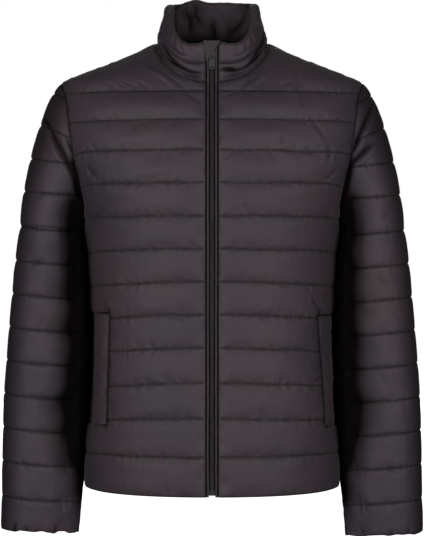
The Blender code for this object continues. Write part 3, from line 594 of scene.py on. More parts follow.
def closed_wall(name, outer, inner, material, tube=False, quilt=None, painted_shade=None):
    """A closed mesh between two grids of the same size, with a UV map in metres.

    quilt holds each point's distance along its row in metres and its place across the
    rows, whole numbers being stitch lines. It goes in a second UV map.
    """
    rows, columns = outer.shape[:2]
    points = np.concatenate((outer.reshape(-1, 3), inner.reshape(-1, 3))) * MM
    shift = rows * columns
    index = np.arange(shift).reshape(rows, columns)
    if tube:
        index = np.concatenate((index, index[:, :1]), axis=1)
    a, b, c, d = index[:-1, :-1], index[:-1, 1:], index[1:, 1:], index[1:, :-1]
    sheet = np.stack((a, b, c, d), -1).reshape(-1, 4)
    faces = [sheet, sheet[:, ::-1] + shift]
    edges = [(index[0], False), (index[-1], True)]
    if not tube:
        edges += [(index[:, 0], True), (index[:, -1], False)]
    for edge, turned in edges:
        strip = np.stack((edge[:-1], edge[:-1] + shift, edge[1:] + shift, edge[1:]), -1)
        faces.append(strip[:, ::-1] if turned else strip)
    faces = np.concatenate(faces)
    mesh = bpy.data.meshes.new(name)
    mesh.vertices.add(len(points))
    mesh.vertices.foreach_set("co", points.astype(np.float32).ravel())
    mesh.loops.add(faces.size)
    mesh.loops.foreach_set("vertex_index", faces.ravel().astype(np.int32))
    mesh.polygons.add(len(faces))
    mesh.polygons.foreach_set("loop_start", np.arange(0, faces.size, 4, dtype=np.int32))
    mesh.update(calc_edges=True)
    if quilt is None:
        quilt = np.full((rows, columns, 2), OFF_THE_LINES)
    for layer, places in (("cloth", cloth_plan(outer) * MM), ("quilt", quilt.reshape(-1, 2))):
        twice = np.concatenate((places, places))
        mesh.uv_layers.new(name=layer)
        mesh.uv_layers[layer].data.foreach_set("uv", twice[faces.ravel()].astype(np.float32).ravel())
    if painted_shade is not None:
        set_painted_shade(mesh, np.concatenate((painted_shade.ravel(), painted_shade.ravel())))
    mesh.materials.append(material)
    item = new_item(name, mesh)
    tidy_mesh(item)
    return item


def cloth_plan(grid):
    """Each point's place on the flat cloth: along the weft, then along the warp."""
    along = np.concatenate((np.zeros((1, grid.shape[1])),
                            np.cumsum(np.linalg.norm(np.diff(grid, axis=0), axis=2), axis=0)))
    return np.stack((lengths_across(grid), along + 0.0 * grid[..., 0]), -1).reshape(-1, 2)


def tidy_mesh(item):
    """Merge points that lie together, turn the faces outwards and shade them smooth."""
    work = bmesh.new()
    work.from_mesh(item.data)
    bmesh.ops.remove_doubles(work, verts=work.verts, dist=0.00002)
    bmesh.ops.recalc_face_normals(work, faces=work.faces)
    if work.calc_volume(signed=True) < 0:
        bmesh.ops.reverse_faces(work, faces=work.faces)
    work.to_mesh(item.data)
    work.free()
    item.data.shade_smooth()


def mirrored(points):
    copy = points.copy()
    copy[..., 0] *= -1
    return copy


def per_metre(spacing):
    """The scale of a pattern whose marks are this far apart, in millimetres."""
    return 1 / (spacing * MM)


# Shell: plain-weave down-proof nylon, calendered on one side. Close-set fine threads give it
# a low satin gloss, with a faint aubergine cast in the dye.
DYE_PATCH = 111.1
PUCKER_SPACING, PUCKER_LENGTH = 5.882, 16.67
PUCKER_SHIFT = 5.37      # from row to row, so that no two rows are alike
LONG_CREASE_WIDTH, LONG_CREASE_LENGTH = 10.526, 111.1
CRUMPLE_SIZE = 18.18
WEAVE_SPACING = 0.7143   # a real thread's 0.1 is too fine to show
shell, tree, shader = new_material("down_proof_nylon")
place = add_node(tree, "ShaderNodeTexCoord")
patches = add_node(tree, "ShaderNodeTexNoise", {"Scale": per_metre(DYE_PATCH), "Detail": 3.0},
                   Vector=place.outputs["Object"])
dye = two_tone(tree, patches.outputs["Fac"], "#3a323b", "#43363c")
dye.color_ramp.elements[0].position = 0.3
dye.color_ramp.elements[1].position = 0.7
shader.inputs["Roughness"].default_value = 0.6
shader.inputs["Sheen Roughness"].default_value = 0.4

# Puckers: short creases across each stitch line, a few millimetres apart, which fade within
# about 10 mm of it. The quilt map's second number is whole on a stitch line.
PUCKER_FADE = 4.8 * MM
LINE_SHADE = 0.88        # painted shade: how much of the dye a stitch line takes away
LINE_REACH = 0.75 * MM
FULL_PAINTED_SHADE = 0.93      # the most painted shade, in folds, seams and the sleeves' shadow
# the gloss and sheen outside the painted shade, which dims them as well
SHINE_OUT_OF_SHADE, SHEEN_OUT_OF_SHADE = 0.35, 0.12
CHANNEL_WIDTH = 50 * MM
quilt_map = add_node(tree, "ShaderNodeUVMap", {"uv_map": "quilt"})
parts = add_node(tree, "ShaderNodeSeparateXYZ", Vector=quilt_map.outputs["UV"])


def calculate(tree, operation, first, second=None):
    """Add one sum on values or sockets, and give its result."""
    node = tree.nodes.new("ShaderNodeMath")
    node.operation = operation
    for number, value in enumerate((first, second)):
        if isinstance(value, (int, float)):
            node.inputs[number].default_value = value
        elif value is not None:
            tree.links.new(value, node.inputs[number])
    return node.outputs[0]


line = calculate(tree, "ROUND", parts.outputs["Y"])
away = calculate(tree, "ABSOLUTE", calculate(tree, "SUBTRACT", parts.outputs["Y"], line))
away = calculate(tree, "MULTIPLY", away, CHANNEL_WIDTH)
along = calculate(tree, "MULTIPLY", parts.outputs["X"], per_metre(PUCKER_SPACING))
row = calculate(tree, "MULTIPLY", line, PUCKER_SHIFT)
across = calculate(tree, "MULTIPLY", away, per_metre(PUCKER_LENGTH))
spot = add_node(tree, "ShaderNodeCombineXYZ")
tree.links.new(along, spot.inputs[0])
tree.links.new(row, spot.inputs[1])
tree.links.new(across, spot.inputs[2])
creases = add_node(tree, "ShaderNodeTexNoise", {"Scale": 1.0, "Detail": 2.0, "Distortion": 0.3},
                   Vector=spot.outputs[0])
# Painted shade: the dye darkens on each stitch line and with each point's painted shade, and the gloss and
# sheen dim with the latter
shadow = calculate(tree, "EXPONENT", calculate(tree, "MULTIPLY", away, -1 / LINE_REACH))
shadow = calculate(tree, "SUBTRACT", 1.0, calculate(tree, "MULTIPLY", shadow, LINE_SHADE))
painted_shade_factor = add_node(tree, "ShaderNodeAttribute", {"attribute_name": "painted_shade"})
painted_shade_factor = calculate(tree, "SUBTRACT", 1.0, calculate(tree, "MULTIPLY", painted_shade_factor.outputs["Fac"], FULL_PAINTED_SHADE))
shadow = calculate(tree, "MULTIPLY", shadow, painted_shade_factor)
shaded_dye = add_node(tree, "ShaderNodeHueSaturation", Color=dye.outputs["Color"], Value=shadow)
tree.links.new(shaded_dye.outputs["Color"], shader.inputs["Base Color"])
tree.links.new(calculate(tree, "MULTIPLY", painted_shade_factor, SHINE_OUT_OF_SHADE), shader.inputs["Specular IOR Level"])
tree.links.new(calculate(tree, "MULTIPLY", painted_shade_factor, SHEEN_OUT_OF_SHADE), shader.inputs["Sheen Weight"])
fade = calculate(tree, "EXPONENT", calculate(tree, "MULTIPLY", away, -1 / PUCKER_FADE))
puckers = calculate(tree, "MULTIPLY", creases.outputs["Fac"], fade)

# Long faint creases that run up and down the channels, as packed cloth keeps them, then
# a fine crumple and the weave. Each layer's depth is in metres.
wide, long = per_metre(LONG_CREASE_WIDTH), per_metre(LONG_CREASE_LENGTH)
stretch = add_node(tree, "ShaderNodeMapping", {"Scale": (wide, wide, long)},
                   Vector=place.outputs["Object"])
pressed = add_node(tree, "ShaderNodeTexNoise", {"Scale": 1.0, "Detail": 3.0}, Vector=stretch.outputs["Vector"])
crumple = add_node(tree, "ShaderNodeTexNoise", {"Scale": per_metre(CRUMPLE_SIZE), "Detail": 3.0},
                   Vector=place.outputs["Object"])
weave = add_node(tree, "ShaderNodeTexNoise", {"Scale": per_metre(WEAVE_SPACING), "Detail": 1.0},
                 Vector=place.outputs["Object"])
normal = None
for height, deep in ((puckers, 0.0032), (pressed.outputs["Fac"], 0.0004),
                     (crumple.outputs["Fac"], 0.0005), (weave.outputs["Fac"], 0.00012)):
    bump = add_node(tree, "ShaderNodeBump", {"Strength": 1.0, "Distance": deep}, Height=height)
    if normal is not None:
        tree.links.new(normal, bump.inputs["Normal"])
    normal = bump.outputs["Normal"]
tree.links.new(normal, shader.inputs["Normal"])


# The hand pockets' welts: top, foot, and how far out their seam and open edge are at each
WELTS = {
    "right": (-399.5, -567.0, (149.5, 154.5), (171.5, 174.0)),
    "left": (-403.5, -569.5, (155.0, 167.0), (175.0, 179.5)),
}


def welt_edges(side, height):
    """How far out a welt's seam and its open edge are at a height."""
    top, foot, seam, opening = WELTS[side]
    share = (top - height) / (top - foot)
    return mix(*seam, share), mix(*opening, share)


ROW_SPACING = 49.0       # between stitch lines, on the body and on the sleeves
YOKE_SPACING = 60.0      # from the last stitch line to the shoulder seam
PRESSED_FROM = 0.72      # the share across a panel where a sleeve starts to press on it
PRESSED_WIDTH = 0.28


def body_rise(grid, shares, facing, seed, side=None):
    """The quilted rise of a half panel, which dies out on its seams, and its quilt map."""
    drops = row_drops()
    rows, columns = grid.shape[:2]
    length = lengths_across(grid)
    channel = np.zeros((rows, 1))
    share = np.zeros((rows, 1))
    whole = len(drops)
    channel[:whole, 0] = np.arange(whole) // len(CHANNEL_STEPS)
    share[:whole, 0] = drops[:, 2]
    width = np.full((rows, 1), ROW_SPACING)
    channel[whole:, 0] = len(ROWS) - 1
    share[whole:, 0] = np.linspace(0, 1, YOKE_STEPS + 1)[1:]
    width[whole:, 0] = YOKE_SPACING
    rise = quilting(channel + 0.0 * length, share + 0.0 * length, length, width, seed)
    pressed = rising(shares, PRESSED_FROM, PRESSED_WIDTH)[None, :]
    low = (grid[..., 2] < -UNDERARM_DROP + 20)
    rise = np.where(low, mix(rise, CONTACT_RISE, pressed), mix(1.0, 0.6, pressed) * rise)
    rise *= near_edge(length[:, -1:] - length)
    if facing == FRONT:
        rise *= near_edge(length)
        top, foot, _, _ = WELTS[side]
        seam, _ = welt_edges(side, grid[..., 2])
        beside = falling(grid[..., 2], top + 2, 3) * rising(grid[..., 2] - foot, -2, 3)
        rise *= 1 - beside * (1 - near_edge(np.maximum(seam - grid[..., 0], 0), 8.0))
    steps_up = np.linalg.norm(np.diff(grid, axis=0), axis=2)
    from_top = np.concatenate((np.cumsum(steps_up[::-1], axis=0)[::-1], np.zeros((1, columns))))
    rise *= near_edge(from_top)
    return rise, np.stack((length * MM, channel + share + 0.0 * length), -1)


def wall_grids(grid, rise, facing, shares):
    """Outer and inner points of half a body panel's wall."""
    normals = grid_normals(grid, np.array((0.0, facing, 0.0)))
    outer = grid + normals * rise[..., None]
    inner = grid - normals * WALL
    whole = len(row_drops())
    heights = grid[:, -1, 2]
    side = np.zeros((len(grid), 3)) + (-1.0, 0.0, 0.0)
    beside = heights >= -UNDERARM_DROP - 0.01
    side[beside] = armhole_inward(armhole_angle(heights[beside]) * -facing)
    inner[:, -1] = grid[:, -1] + side * WALL
    if facing == FRONT:
        lifts = np.linspace(0, 1, YOKE_STEPS + 1)[1:]
        along = rising(lifts, NECK_ZIP_SHARE, 1 - NECK_ZIP_SHARE)
        inner[:whole, 0] = grid[:whole, 0] + np.array((0.0, WALL, 0.0))
        turned = neck_inward(mix(NECK_TURN_AT_ZIP, math.pi / 2, along))
        turned[lifts < NECK_ZIP_SHARE] = (0.0, 1.0, 0.0)
        inner[whole:, 0] = grid[whole:, 0] + turned * WALL
        inner[-1] = grid[-1] + np.array((0.0, 0.0, -WALL))
    else:
        down = np.zeros((len(shares), 3)) + (0.0, 0.0, -1.0)
        neck = shares <= BACK_NECK_SHARE
        down[neck] = neck_inward(math.pi - shares[neck] / BACK_NECK_SHARE * math.pi / 2)
        inner[-1] = grid[-1] + down * WALL
    inner[-1, -1] = grid[-1, -1] + armhole_inward(armhole_angle(grid[-1, -1, 2:])[0:1] * -facing)[0] * WALL
    for points in (outer, inner):
        points[:, -1, 0] -= SEAM_GAP / 2
        points[-1, :, 1] += facing * SEAM_GAP / 2
        points[:, -1, 1] += facing * SEAM_GAP / 2
    return outer, inner


ARMHOLE_SHADE = 0.75     # painted shade in the armhole seam, on the body and on the sleeve
ARMHOLE_REACH = 1.6
SIDE_SHADE = 0.9         # painted shade where the arm hangs next to the body
HEM_LIGHT = -640.0       # the height below which the hem comes out of that painted shade


def shade_at_side(grid, from_side, facing):
    """The painted shade for the sleeve's shadow on a body panel: along the armhole seam and under the arm."""
    height = grid[..., 2]
    at_armhole = ARMHOLE_SHADE * np.exp(-from_side / ARMHOLE_REACH) * (height > -UNDERARM_DROP)
    low = falling(height, -UNDERARM_DROP, 30) * rising(height, HEM_LIGHT, 60)
    reach = np.abs(grid[..., 0]) - half_width(facing, height)
    return np.maximum(at_armhole, SIDE_SHADE * low * rising(reach, -7.0, 6.0))


# The fronts' soft folds: reach and height of each end, depth and width
FRONT_FOLDS = {
    "right": (
        (104.0, -34.0, 40.0, -68.0, 2.5, 3.4),
        (54.0, -49.0, 13.0, -64.0, 2.0, 2.6),
        (44.0, -76.0, 13.0, -93.0, 2.2, 2.6),
        (70.0, -78.0, 52.0, -92.0, 1.2, 3.0),
        (183.0, -184.0, 168.0, -201.0, 3.2, 3.0),
        (180.0, -150.0, 166.0, -166.0, 1.8, 2.6),
        (132.0, -39.0, 72.0, -36.0, 1.2, 1.4),
        (122.0, -145.0, 104.0, -124.0, 1.4, 3.0),
        (90.0, -166.0, 100.0, -192.0, 1.4, 3.0),
        (40.0, -222.0, 14.0, -246.0, 1.2, 3.0),
        (176.0, -262.0, 158.0, -250.0, 1.8, 2.6),
        (32.0, -382.0, 46.0, -400.0, 1.5, 2.2),
        (150.0, -560.0, 176.0, -553.0, 2.7, 2.2),
        (146.0, -522.0, 120.0, -530.0, 1.4, 2.2),
        (140.0, -536.0, 153.0, -528.0, 2.4, 1.8),
        (138.0, -548.0, 152.0, -545.0, 2.0, 1.6),
        (151.0, -384.0, 158.0, -394.0, 2.2, 1.8),
    ),
    "left": (
        (73.0, -50.0, 40.0, -70.0, 2.5, 3.4),
        (42.0, -75.0, 13.0, -85.0, 1.8, 2.6),
        (128.0, -72.0, 133.0, -104.0, 1.5, 2.4),
        (143.0, -112.0, 168.0, -152.0, 2.0, 2.8),
        (118.0, -38.0, 127.0, -70.0, 1.2, 3.0),
        (182.0, -190.0, 166.0, -204.0, 3.0, 3.0),
        (176.0, -160.0, 168.0, -176.0, 1.8, 2.6),
        (104.0, -138.0, 101.0, -153.0, 2.0, 2.2),
        (16.0, -178.0, 34.0, -158.0, 1.4, 3.0),
        (60.0, -262.0, 40.0, -240.0, 1.2, 3.0),
        (177.0, -262.0, 160.0, -254.0, 1.8, 2.6),
        (160.0, -372.0, 168.0, -390.0, 2.1, 2.2),
        (90.0, -452.0, 70.0, -438.0, 1.2, 2.6),
        (172.0, -560.0, 150.0, -566.0, 2.1, 2.2),
        (145.0, -376.0, 154.0, -396.0, 3.2, 2.0),
        (150.0, -486.0, 163.0, -474.0, 2.2, 1.6),
        (148.0, -502.0, 163.0, -496.0, 2.6, 1.8),
        (150.0, -514.0, 164.0, -520.0, 2.4, 1.8),
        (152.0, -540.0, 165.0, -530.0, 2.0, 1.6),
    ),
}
# The back's, on either side of its middle
BACK_FOLDS = {
    "right": (
        (70.0, -32.0, 26.0, -54.0, 2.2, 3.2),
        (96.0, -46.0, 58.0, -72.0, 1.6, 3.0),
        (178.0, -150.0, 158.0, -176.0, 2.6, 3.0),
        (181.0, -196.0, 160.0, -212.0, 3.0, 3.0),
        (132.0, -128.0, 118.0, -150.0, 1.4, 2.8),
        (60.0, -196.0, 82.0, -212.0, 1.2, 3.0),
        (150.0, -282.0, 172.0, -262.0, 2.0, 2.6),
        (38.0, -330.0, 20.0, -350.0, 1.4, 2.6),
        (172.0, -402.0, 150.0, -418.0, 1.8, 2.8),
        (110.0, -468.0, 128.0, -452.0, 1.3, 2.6),
        (164.0, -560.0, 144.0, -548.0, 2.0, 2.4),
        (60.0, -606.0, 44.0, -618.0, 1.2, 2.6),
    ),
    "left": (
        (82.0, -36.0, 34.0, -52.0, 2.0, 3.0),
        (120.0, -58.0, 104.0, -92.0, 1.6, 2.8),
        (180.0, -166.0, 154.0, -190.0, 2.8, 3.0),
        (176.0, -214.0, 162.0, -228.0, 1.8, 2.6),
        (92.0, -150.0, 76.0, -166.0, 1.3, 2.8),
        (34.0, -236.0, 56.0, -252.0, 1.2, 3.0),
        (174.0, -258.0, 152.0, -270.0, 1.9, 2.6),
        (126.0, -356.0, 142.0, -372.0, 1.5, 2.6),
        (166.0, -444.0, 176.0, -426.0, 1.8, 2.4),
        (30.0, -500.0, 48.0, -486.0, 1.3, 2.6),
        (170.0, -596.0, 148.0, -588.0, 1.9, 2.4),
    ),
}
EDGE_OVER_ZIP = 1.5      # how far the filled edge swells over the zip
EDGE_REACH = 4.0
ROW_STRAY = 1.2          # how far a row strays over long lengths, and over short ones
ROW_WOBBLE = 0.5
ROW_DIP = 4.0            # how much further a row drops in its last few millimetres
DIP_REACH = 14.0
SOFT_SHADE = 0.5         # the body's folds take a softer painted shade than the sleeves'
WELT_SHADE = 0.95        # painted shade in the seam where a welt is sewn on
WELT_SHADE_REACH = 2.1
LEAST_RISE = -0.8        # a fold goes no deeper than this into the wadding


def row_wave(quilt, seed):
    """How far each point's row strays up or down, for rows are never sewn quite straight."""
    length, line = quilt[..., 0] / MM, quilt[..., 1]
    stray = ROW_STRAY * lattice(seed + 20, length / 62, line * 1.7)
    stray += ROW_WOBBLE * lattice(seed + 21, length / 23, line * 1.3)
    edge = np.minimum(length, length[:, -1:] - length)
    dip = ROW_DIP * np.exp(-(length[:, -1:] - length) / DIP_REACH)
    return (stray * rising(edge, 0, 25) - dip) * rising(line, 0, 1) * falling(line, len(ROWS) - 1, 1)


sewn_rows = []           # lines of points, and the cloth's outward direction along them
stitch_rows = np.flatnonzero(row_drops()[:, 2] == 0)[1:]


def seams_held(grid):
    """1 on a body panel's stitch lines and seams, 0 elsewhere."""
    held = np.zeros(grid.shape[:2])
    held[stitch_rows] = 1.0
    held[[0, -1]] = 1.0
    held[:, [0, -1]] = 1.0
    return held


front_grid, front_shares = half_panel(FRONT, FRONT_COLUMNS)
from_zip = lengths_across(front_grid)
from_side = from_zip[:, -1:] - from_zip
for name, seed, flip in (("front_left", 11, False), ("front_right", 23, True)):
    side = name.split("_")[1]
    top, foot, _, _ = WELTS[side]
    rise, quilt = body_rise(front_grid, front_shares, FRONT, seed, side)
    # Painted shade: in the folds, in the welt's seam and where the sleeve hangs beside the panel
    depth, painted_shade = folds_at(FRONT_FOLDS[side], front_grid[..., 0], front_grid[..., 2], ridged=0.5)
    painted_shade *= SOFT_SHADE
    beside_welt = (front_grid[..., 2] < top + 8) & (front_grid[..., 2] > foot)
    from_seam = np.abs(front_grid[..., 0] - welt_edges(side, front_grid[..., 2])[0])
    painted_shade = np.maximum(painted_shade, WELT_SHADE * np.exp(-from_seam / WELT_SHADE_REACH) * beside_welt)
    painted_shade = np.maximum(painted_shade, shade_at_side(front_grid, from_side, FRONT))
    rise = np.maximum(rise - depth * near_edge(from_zip, 6.0) * near_edge(from_side, 12.0), LEAST_RISE)
    outer, inner = wall_grids(front_grid, rise, FRONT, front_shares)
    normals = grid_normals(front_grid, np.array((0.0, FRONT, 0.0)))
    wave = row_wave(quilt, seed)[..., None] * (0.0, 0.0, 1.0)
    outer, inner = outer + wave, inner + wave
    seam, _ = welt_edges(side, outer[..., 2])
    behind_welt = (outer[..., 2] < top) & (outer[..., 2] > foot) & (outer[..., 0] > seam)
    held = seams_held(outer)
    held[behind_welt] = 1.0
    outer = settled(outer, held)
    outer[..., 0] -= EDGE_OVER_ZIP * np.exp(-from_zip / EDGE_REACH) * (outer[..., 2] < -40)
    if flip:
        outer, inner, normals = mirrored(outer), mirrored(inner), mirrored(normals)
    for row in stitch_rows:
        seen = ~behind_welt[row]
        sewn_rows.append((outer[row][seen], normals[row][seen]))
    item = closed_wall(name + "_shell", outer, inner, shell, quilt=quilt + (0.4 * flip, 0.0), painted_shade=painted_shade)
    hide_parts(name)
    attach(item, "jacket")

BACK_SEED = 37
back_grid, back_shares = half_panel(BACK, BACK_COLUMNS)
from_middle = lengths_across(back_grid)
from_side = from_middle[:, -1:] - from_middle
halves = []
for side in ("right", "left"):
    rise, quilt = body_rise(back_grid, back_shares, BACK, BACK_SEED)
    # Painted shade: in the folds and where the sleeve hangs beside the panel
    depth, painted_shade = folds_at(BACK_FOLDS[side], back_grid[..., 0], back_grid[..., 2], ridged=0.5)
    painted_shade = SOFT_SHADE * painted_shade * near_edge(from_middle, 6.0)
    painted_shade = np.maximum(painted_shade, shade_at_side(back_grid, from_side, BACK))
    rise = np.maximum(rise - depth * near_edge(from_middle, 6.0) * near_edge(from_side, 12.0), LEAST_RISE)
    outer, inner = wall_grids(back_grid, rise, BACK, back_shares)
    wave = (row_wave(quilt, BACK_SEED) * rising(quilt[..., 0] / MM, 0, 40))[..., None] * (0.0, 0.0, 1.0)
    outer, inner = outer + wave, inner + wave
    for points in (outer, inner):
        points[:, 0, 0] = 0.0
    if side == "right":
        outer, inner = mirrored(outer)[:, :0:-1], mirrored(inner)[:, :0:-1]
        quilt = (quilt * (-1.0, 1.0))[:, :0:-1]
        painted_shade = painted_shade[:, :0:-1]
    halves.append((outer, inner, quilt, painted_shade))
outer, inner, quilt, painted_shade = (np.concatenate(pair, axis=1) for pair in zip(*halves))
normals = grid_normals(outer, np.array((0.0, BACK, 0.0)))
outer = settled(outer, seams_held(outer))
sewn_rows.extend((outer[row], normals[row]) for row in stitch_rows)
item = closed_wall("back_shell", outer, inner, shell, quilt=quilt + (1.5, 0.0), painted_shade=painted_shade)
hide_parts("back")
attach(item, "jacket")

# ---------------------------------------------------------------- sleeves
# Two quilted tubes with shaped caps, sewn into the armholes. The cap's rows run level
# from seam to seam; below it each row is a full ring, down to the turned cuff.

SLEEVE_ROUNDNESS = 2.3
CAP_FOOT = 278.0
CUFF = 726.0
SLEEVE_TILT = 0.08       # a sleeve's rows are lower on the side next to the body
SLEEVE_COLUMNS = 168
SLEEVE_STEPS = np.array((0.0, 0.015, 0.04, 0.075, 0.12, 0.18, 0.25, 0.33, 0.42, 0.51, 0.6,
                         0.69, 0.78, 0.87, 0.94, 0.98))
HOLLOW_START = 0.22      # shares of the sleeve's half width: the front falls back next to
HOLLOW_WIDTH = 0.55       # the body, where the arm hangs against it
HOLLOW_DEPTH = 0.3
REAR_BULGE = 10.5        # the sleeve's wadding fills the hollow behind the body's side
BULGE_TURN = 217.0       # where that bulge is, and how far it reaches, in degrees
BULGE_WIDTH = 26.0
BULGE_TOP, BULGE_FOOT = 0.9, 1.86       # 1 is the cap's foot and 2 the cuff
CONTACT_START, CONTACT_WIDTH = 0.3, 0.6     # the side that lies against the body
OUTER_FILL = 0.45        # how much of the rows' rise is left at the outer silhouette
CUFF_EXTRA = 9.0         # how far the surface runs on below the cuff, for the rows' droop
CAP_REACH = 239.5        # how far out the rows below the cap are level with the armhole's
LIMB_SHADE = 0.5         # painted shade at the sleeve's outer silhouette
CUFF_SCALLOP = 1.9
FOLD_LIMIT = -6.0        # a fold goes no deeper than this into the wadding
SLEEVE_FOLD_SHADE = 1.7  # the sleeves' folds take the strongest painted shade

# Heights that bound the painted shade on a sleeve: it lies on the side next to the body, from the
# underarm down, grows narrower towards the cuff and is light again at the cuff's edge
SHADE_TOP = -165.0
NARROW_FROM = -570.0
CUFF_LIGHT = -724.0
LEAST_SHADE = 0.35
# Above this the fold under the arm takes painted shade as well
PIT_TOP, PIT_FOOT = -150.0, -300.0

# height, outer edge, inner edge, middle of the depth, half depth
SLEEVE = np.array((
    (-726.0, 314.0, 202.5, -24.0, 33.0),
    (-678.0, 313.0, 198.5, -20.0, 38.0),
    (-628.0, 312.5, 195.5, -16.0, 40.0),
    (-578.0, 311.5, 192.5, -12.0, 42.0),
    (-528.0, 310.0, 189.5, -8.0, 44.5),
    (-478.0, 306.5, 187.5, -5.0, 47.0),
    (-428.0, 302.7, 186.5, -2.0, 50.0),
    (-378.0, 298.0, 186.5, 0.0, 54.0),
    (-328.0, 293.0, 188.5, 2.0, 59.0),
    (-278.0, 286.0, 193.0, 3.0, 64.0),
))
OUTER, INNER, MIDDLE, HALF_DEPTH = 1, 2, 3, 4

# Each row's level at the armhole, and how much it rises for each millimetre further out
SLEEVE_ROWS = np.array((
    (-40.0, 0.55),
    (-86.0, 0.5),
    (-142.0, 0.4),
    (-181.0, 0.12),
    (-228.0, 0.08),
    (-278.0, 0.08),
    (-328.0, 0.08),
    (-378.0, 0.08),
    (-428.0, 0.08),
    (-478.0, 0.08),
    (-528.0, 0.08),
    (-578.0, 0.08),
    (-628.0, 0.08),
    (-680.0, 0.08),
    (-727.0, 0.04),
))


def sleeve_ring(height, angle):
    """Points of the +X sleeve below its cap; angle is 0 outside and pi next to the body."""
    outer = smooth_column(SLEEVE, OUTER, height)
    inner = smooth_column(SLEEVE, INNER, height)
    power = 2 / SLEEVE_ROUNDNESS
    swing = np.sign(np.cos(angle)) * np.abs(np.cos(angle)) ** power
    sway = np.sign(np.sin(angle)) * np.abs(np.sin(angle)) ** power
    x = (outer + inner) / 2 + (outer - inner) / 2 * swing
    hollow = rising(-swing, HOLLOW_START, HOLLOW_WIDTH)
    hollow = hollow * hollow * (3 - 2 * hollow) * (sway > 0)
    sway = sway * (1 - hollow * HOLLOW_DEPTH)
    y = smooth_column(SLEEVE, MIDDLE, height) - smooth_column(SLEEVE, HALF_DEPTH, height) * sway
    return np.stack((x, y, height + (outer - inner) / 2 * swing * SLEEVE_TILT), axis=-1)


def cap_point(share, angle):
    """Points of the sleeve cap, between the armhole seam and the cap's foot."""
    start = armhole_point(angle)
    end = sleeve_ring(np.full_like(angle, -CAP_FOOT), angle)
    upper = (1 + np.cos(angle)) / 2
    chord = np.linalg.norm(end - start, axis=-1)[..., None]
    leave = unit(np.stack((mix(0.25, 0.85, upper), -0.25 * np.sin(angle), mix(-0.97, -0.53, upper)), -1))
    arrive = np.array((0.05, 0.0, -1.0))
    s = share[..., None]
    point = (1 + 2 * s) * (1 - s) ** 2 * start + s * s * (3 - 2 * s) * end
    return point + s * (1 - s) ** 2 * leave * chord * 0.4 + s * s * (s - 1) * arrive * chord


def sleeve_surface(along, seam_angle, even_angle):
    """Points of the sleeve; along is 0 at the armhole, 1 at the cap's foot, 2 at the cuff."""
    share = np.clip(along, 0.0, 1.0)
    cap = cap_point(share, mix(seam_angle, even_angle, share))
    height = -mix(CAP_FOOT, CUFF + CUFF_EXTRA, np.clip(along - 1, 0.0, 1.0))
    ring = sleeve_ring(height, even_angle)
    return np.where((along <= 1)[..., None], cap, ring)


def sleeve_columns():
    """Angles of the mesh columns at the armhole seam and at the cap's foot."""
    turns = np.linspace(0, 1, 721) * 2 * math.pi
    seam = even_shares(armhole_point(turns), SLEEVE_COLUMNS + 1)[:-1] * 2 * math.pi
    foot = sleeve_ring(np.full_like(turns, -CAP_FOOT), turns)
    ring = even_shares(foot, SLEEVE_COLUMNS + 1)[:-1] * 2 * math.pi
    return seam, ring


def sleeve_grid(drop):
    """The grid of the +X sleeve, with each row's channel and share; rows sit lower by drop."""
    seam, ring = sleeve_columns()
    samples = np.linspace(0, 2, 2001)
    down = samples[:, None] + 0.0 * seam
    path = sleeve_surface(down, seam + 0.0 * down, ring + 0.0 * down)
    rows = [(0, 0.0, -30.0, 0.55)]
    for index, (low, high) in enumerate(zip(SLEEVE_ROWS[:-1], SLEEVE_ROWS[1:])):
        for step in SLEEVE_STEPS:
            rows.append((index, step, *mix(low, high, step)))
    rows.append((len(SLEEVE_ROWS) - 2, 1.0, *SLEEVE_ROWS[-1]))
    along = np.zeros((len(rows), len(seam)))
    for number, (_, _, level, tilt) in enumerate(rows):
        level -= drop
        start = smooth_column(ARMHOLE, REACH, np.array(level)) if level > -CAP_FOOT else CAP_REACH
        heights = path[..., 2] - tilt * (path[..., 0] - start)
        for column in range(len(seam)):
            line = np.minimum.accumulate(heights[:, column])
            along[number, column] = np.interp(-level, -line, samples)
    along[0] = 0.0
    along = np.maximum.accumulate(along, axis=0)
    grid = sleeve_surface(along, seam + 0.0 * along, ring + 0.0 * along)
    rows = np.array(rows)
    return grid, rows[:, 0:1], rows[:, 1:2], along, seam, ring


def ring_normals(grid):
    """Outward unit normals of a tube's grid."""
    around = np.roll(grid, -1, axis=1) - np.roll(grid, 1, axis=1)
    along = np.gradient(grid, axis=0)
    flat = np.linalg.norm(along, axis=2) < 1e-3
    normals = unit(np.cross(around, along))
    normals[flat] = 0.0
    outwards = grid - grid.mean(axis=1, keepdims=True)
    if np.sum(normals * outwards) < 0:
        normals = -normals
    return normals


def shade_next_to_body(grid, normals, swing, seed):
    """The painted shade on a sleeve's side next to the body, from the underarm to the cuff."""
    height = grid[..., 2]
    uneven = 0.1 * lattice(seed + 30, height / 28, grid[..., 0] / 60)
    narrower = 0.7 * falling(height, NARROW_FROM, 140)
    shade = rising(uneven - swing + 0.1 - narrower, 0, 0.56) ** 1.2
    shade *= np.clip(0.9 - normals[..., 1] * 1.5, 0, 1)
    by_height = np.maximum(rising(height, CUFF_LIGHT, 44), LEAST_SHADE)
    return shade * (by_height * falling(height, SHADE_TOP, 70))


def shade_under_arm(grid, normals):
    """The painted shade in the fold where the front of a sleeve meets the body, under the arm."""
    height = grid[..., 2]
    under = falling(height, PIT_TOP, 110)
    from_body = grid[..., 0] - smooth_column(ARMHOLE, REACH, np.maximum(height, -UNDERARM_DROP))
    shade = falling(from_body, mix(6.0, 34.0, under), mix(5.0, 18.0, under))
    shade = shade * np.minimum(under * 4, 1) * rising(height, PIT_FOOT, 40)
    return shade * np.clip(0.6 - normals[..., 1] * 2, 0, 1)


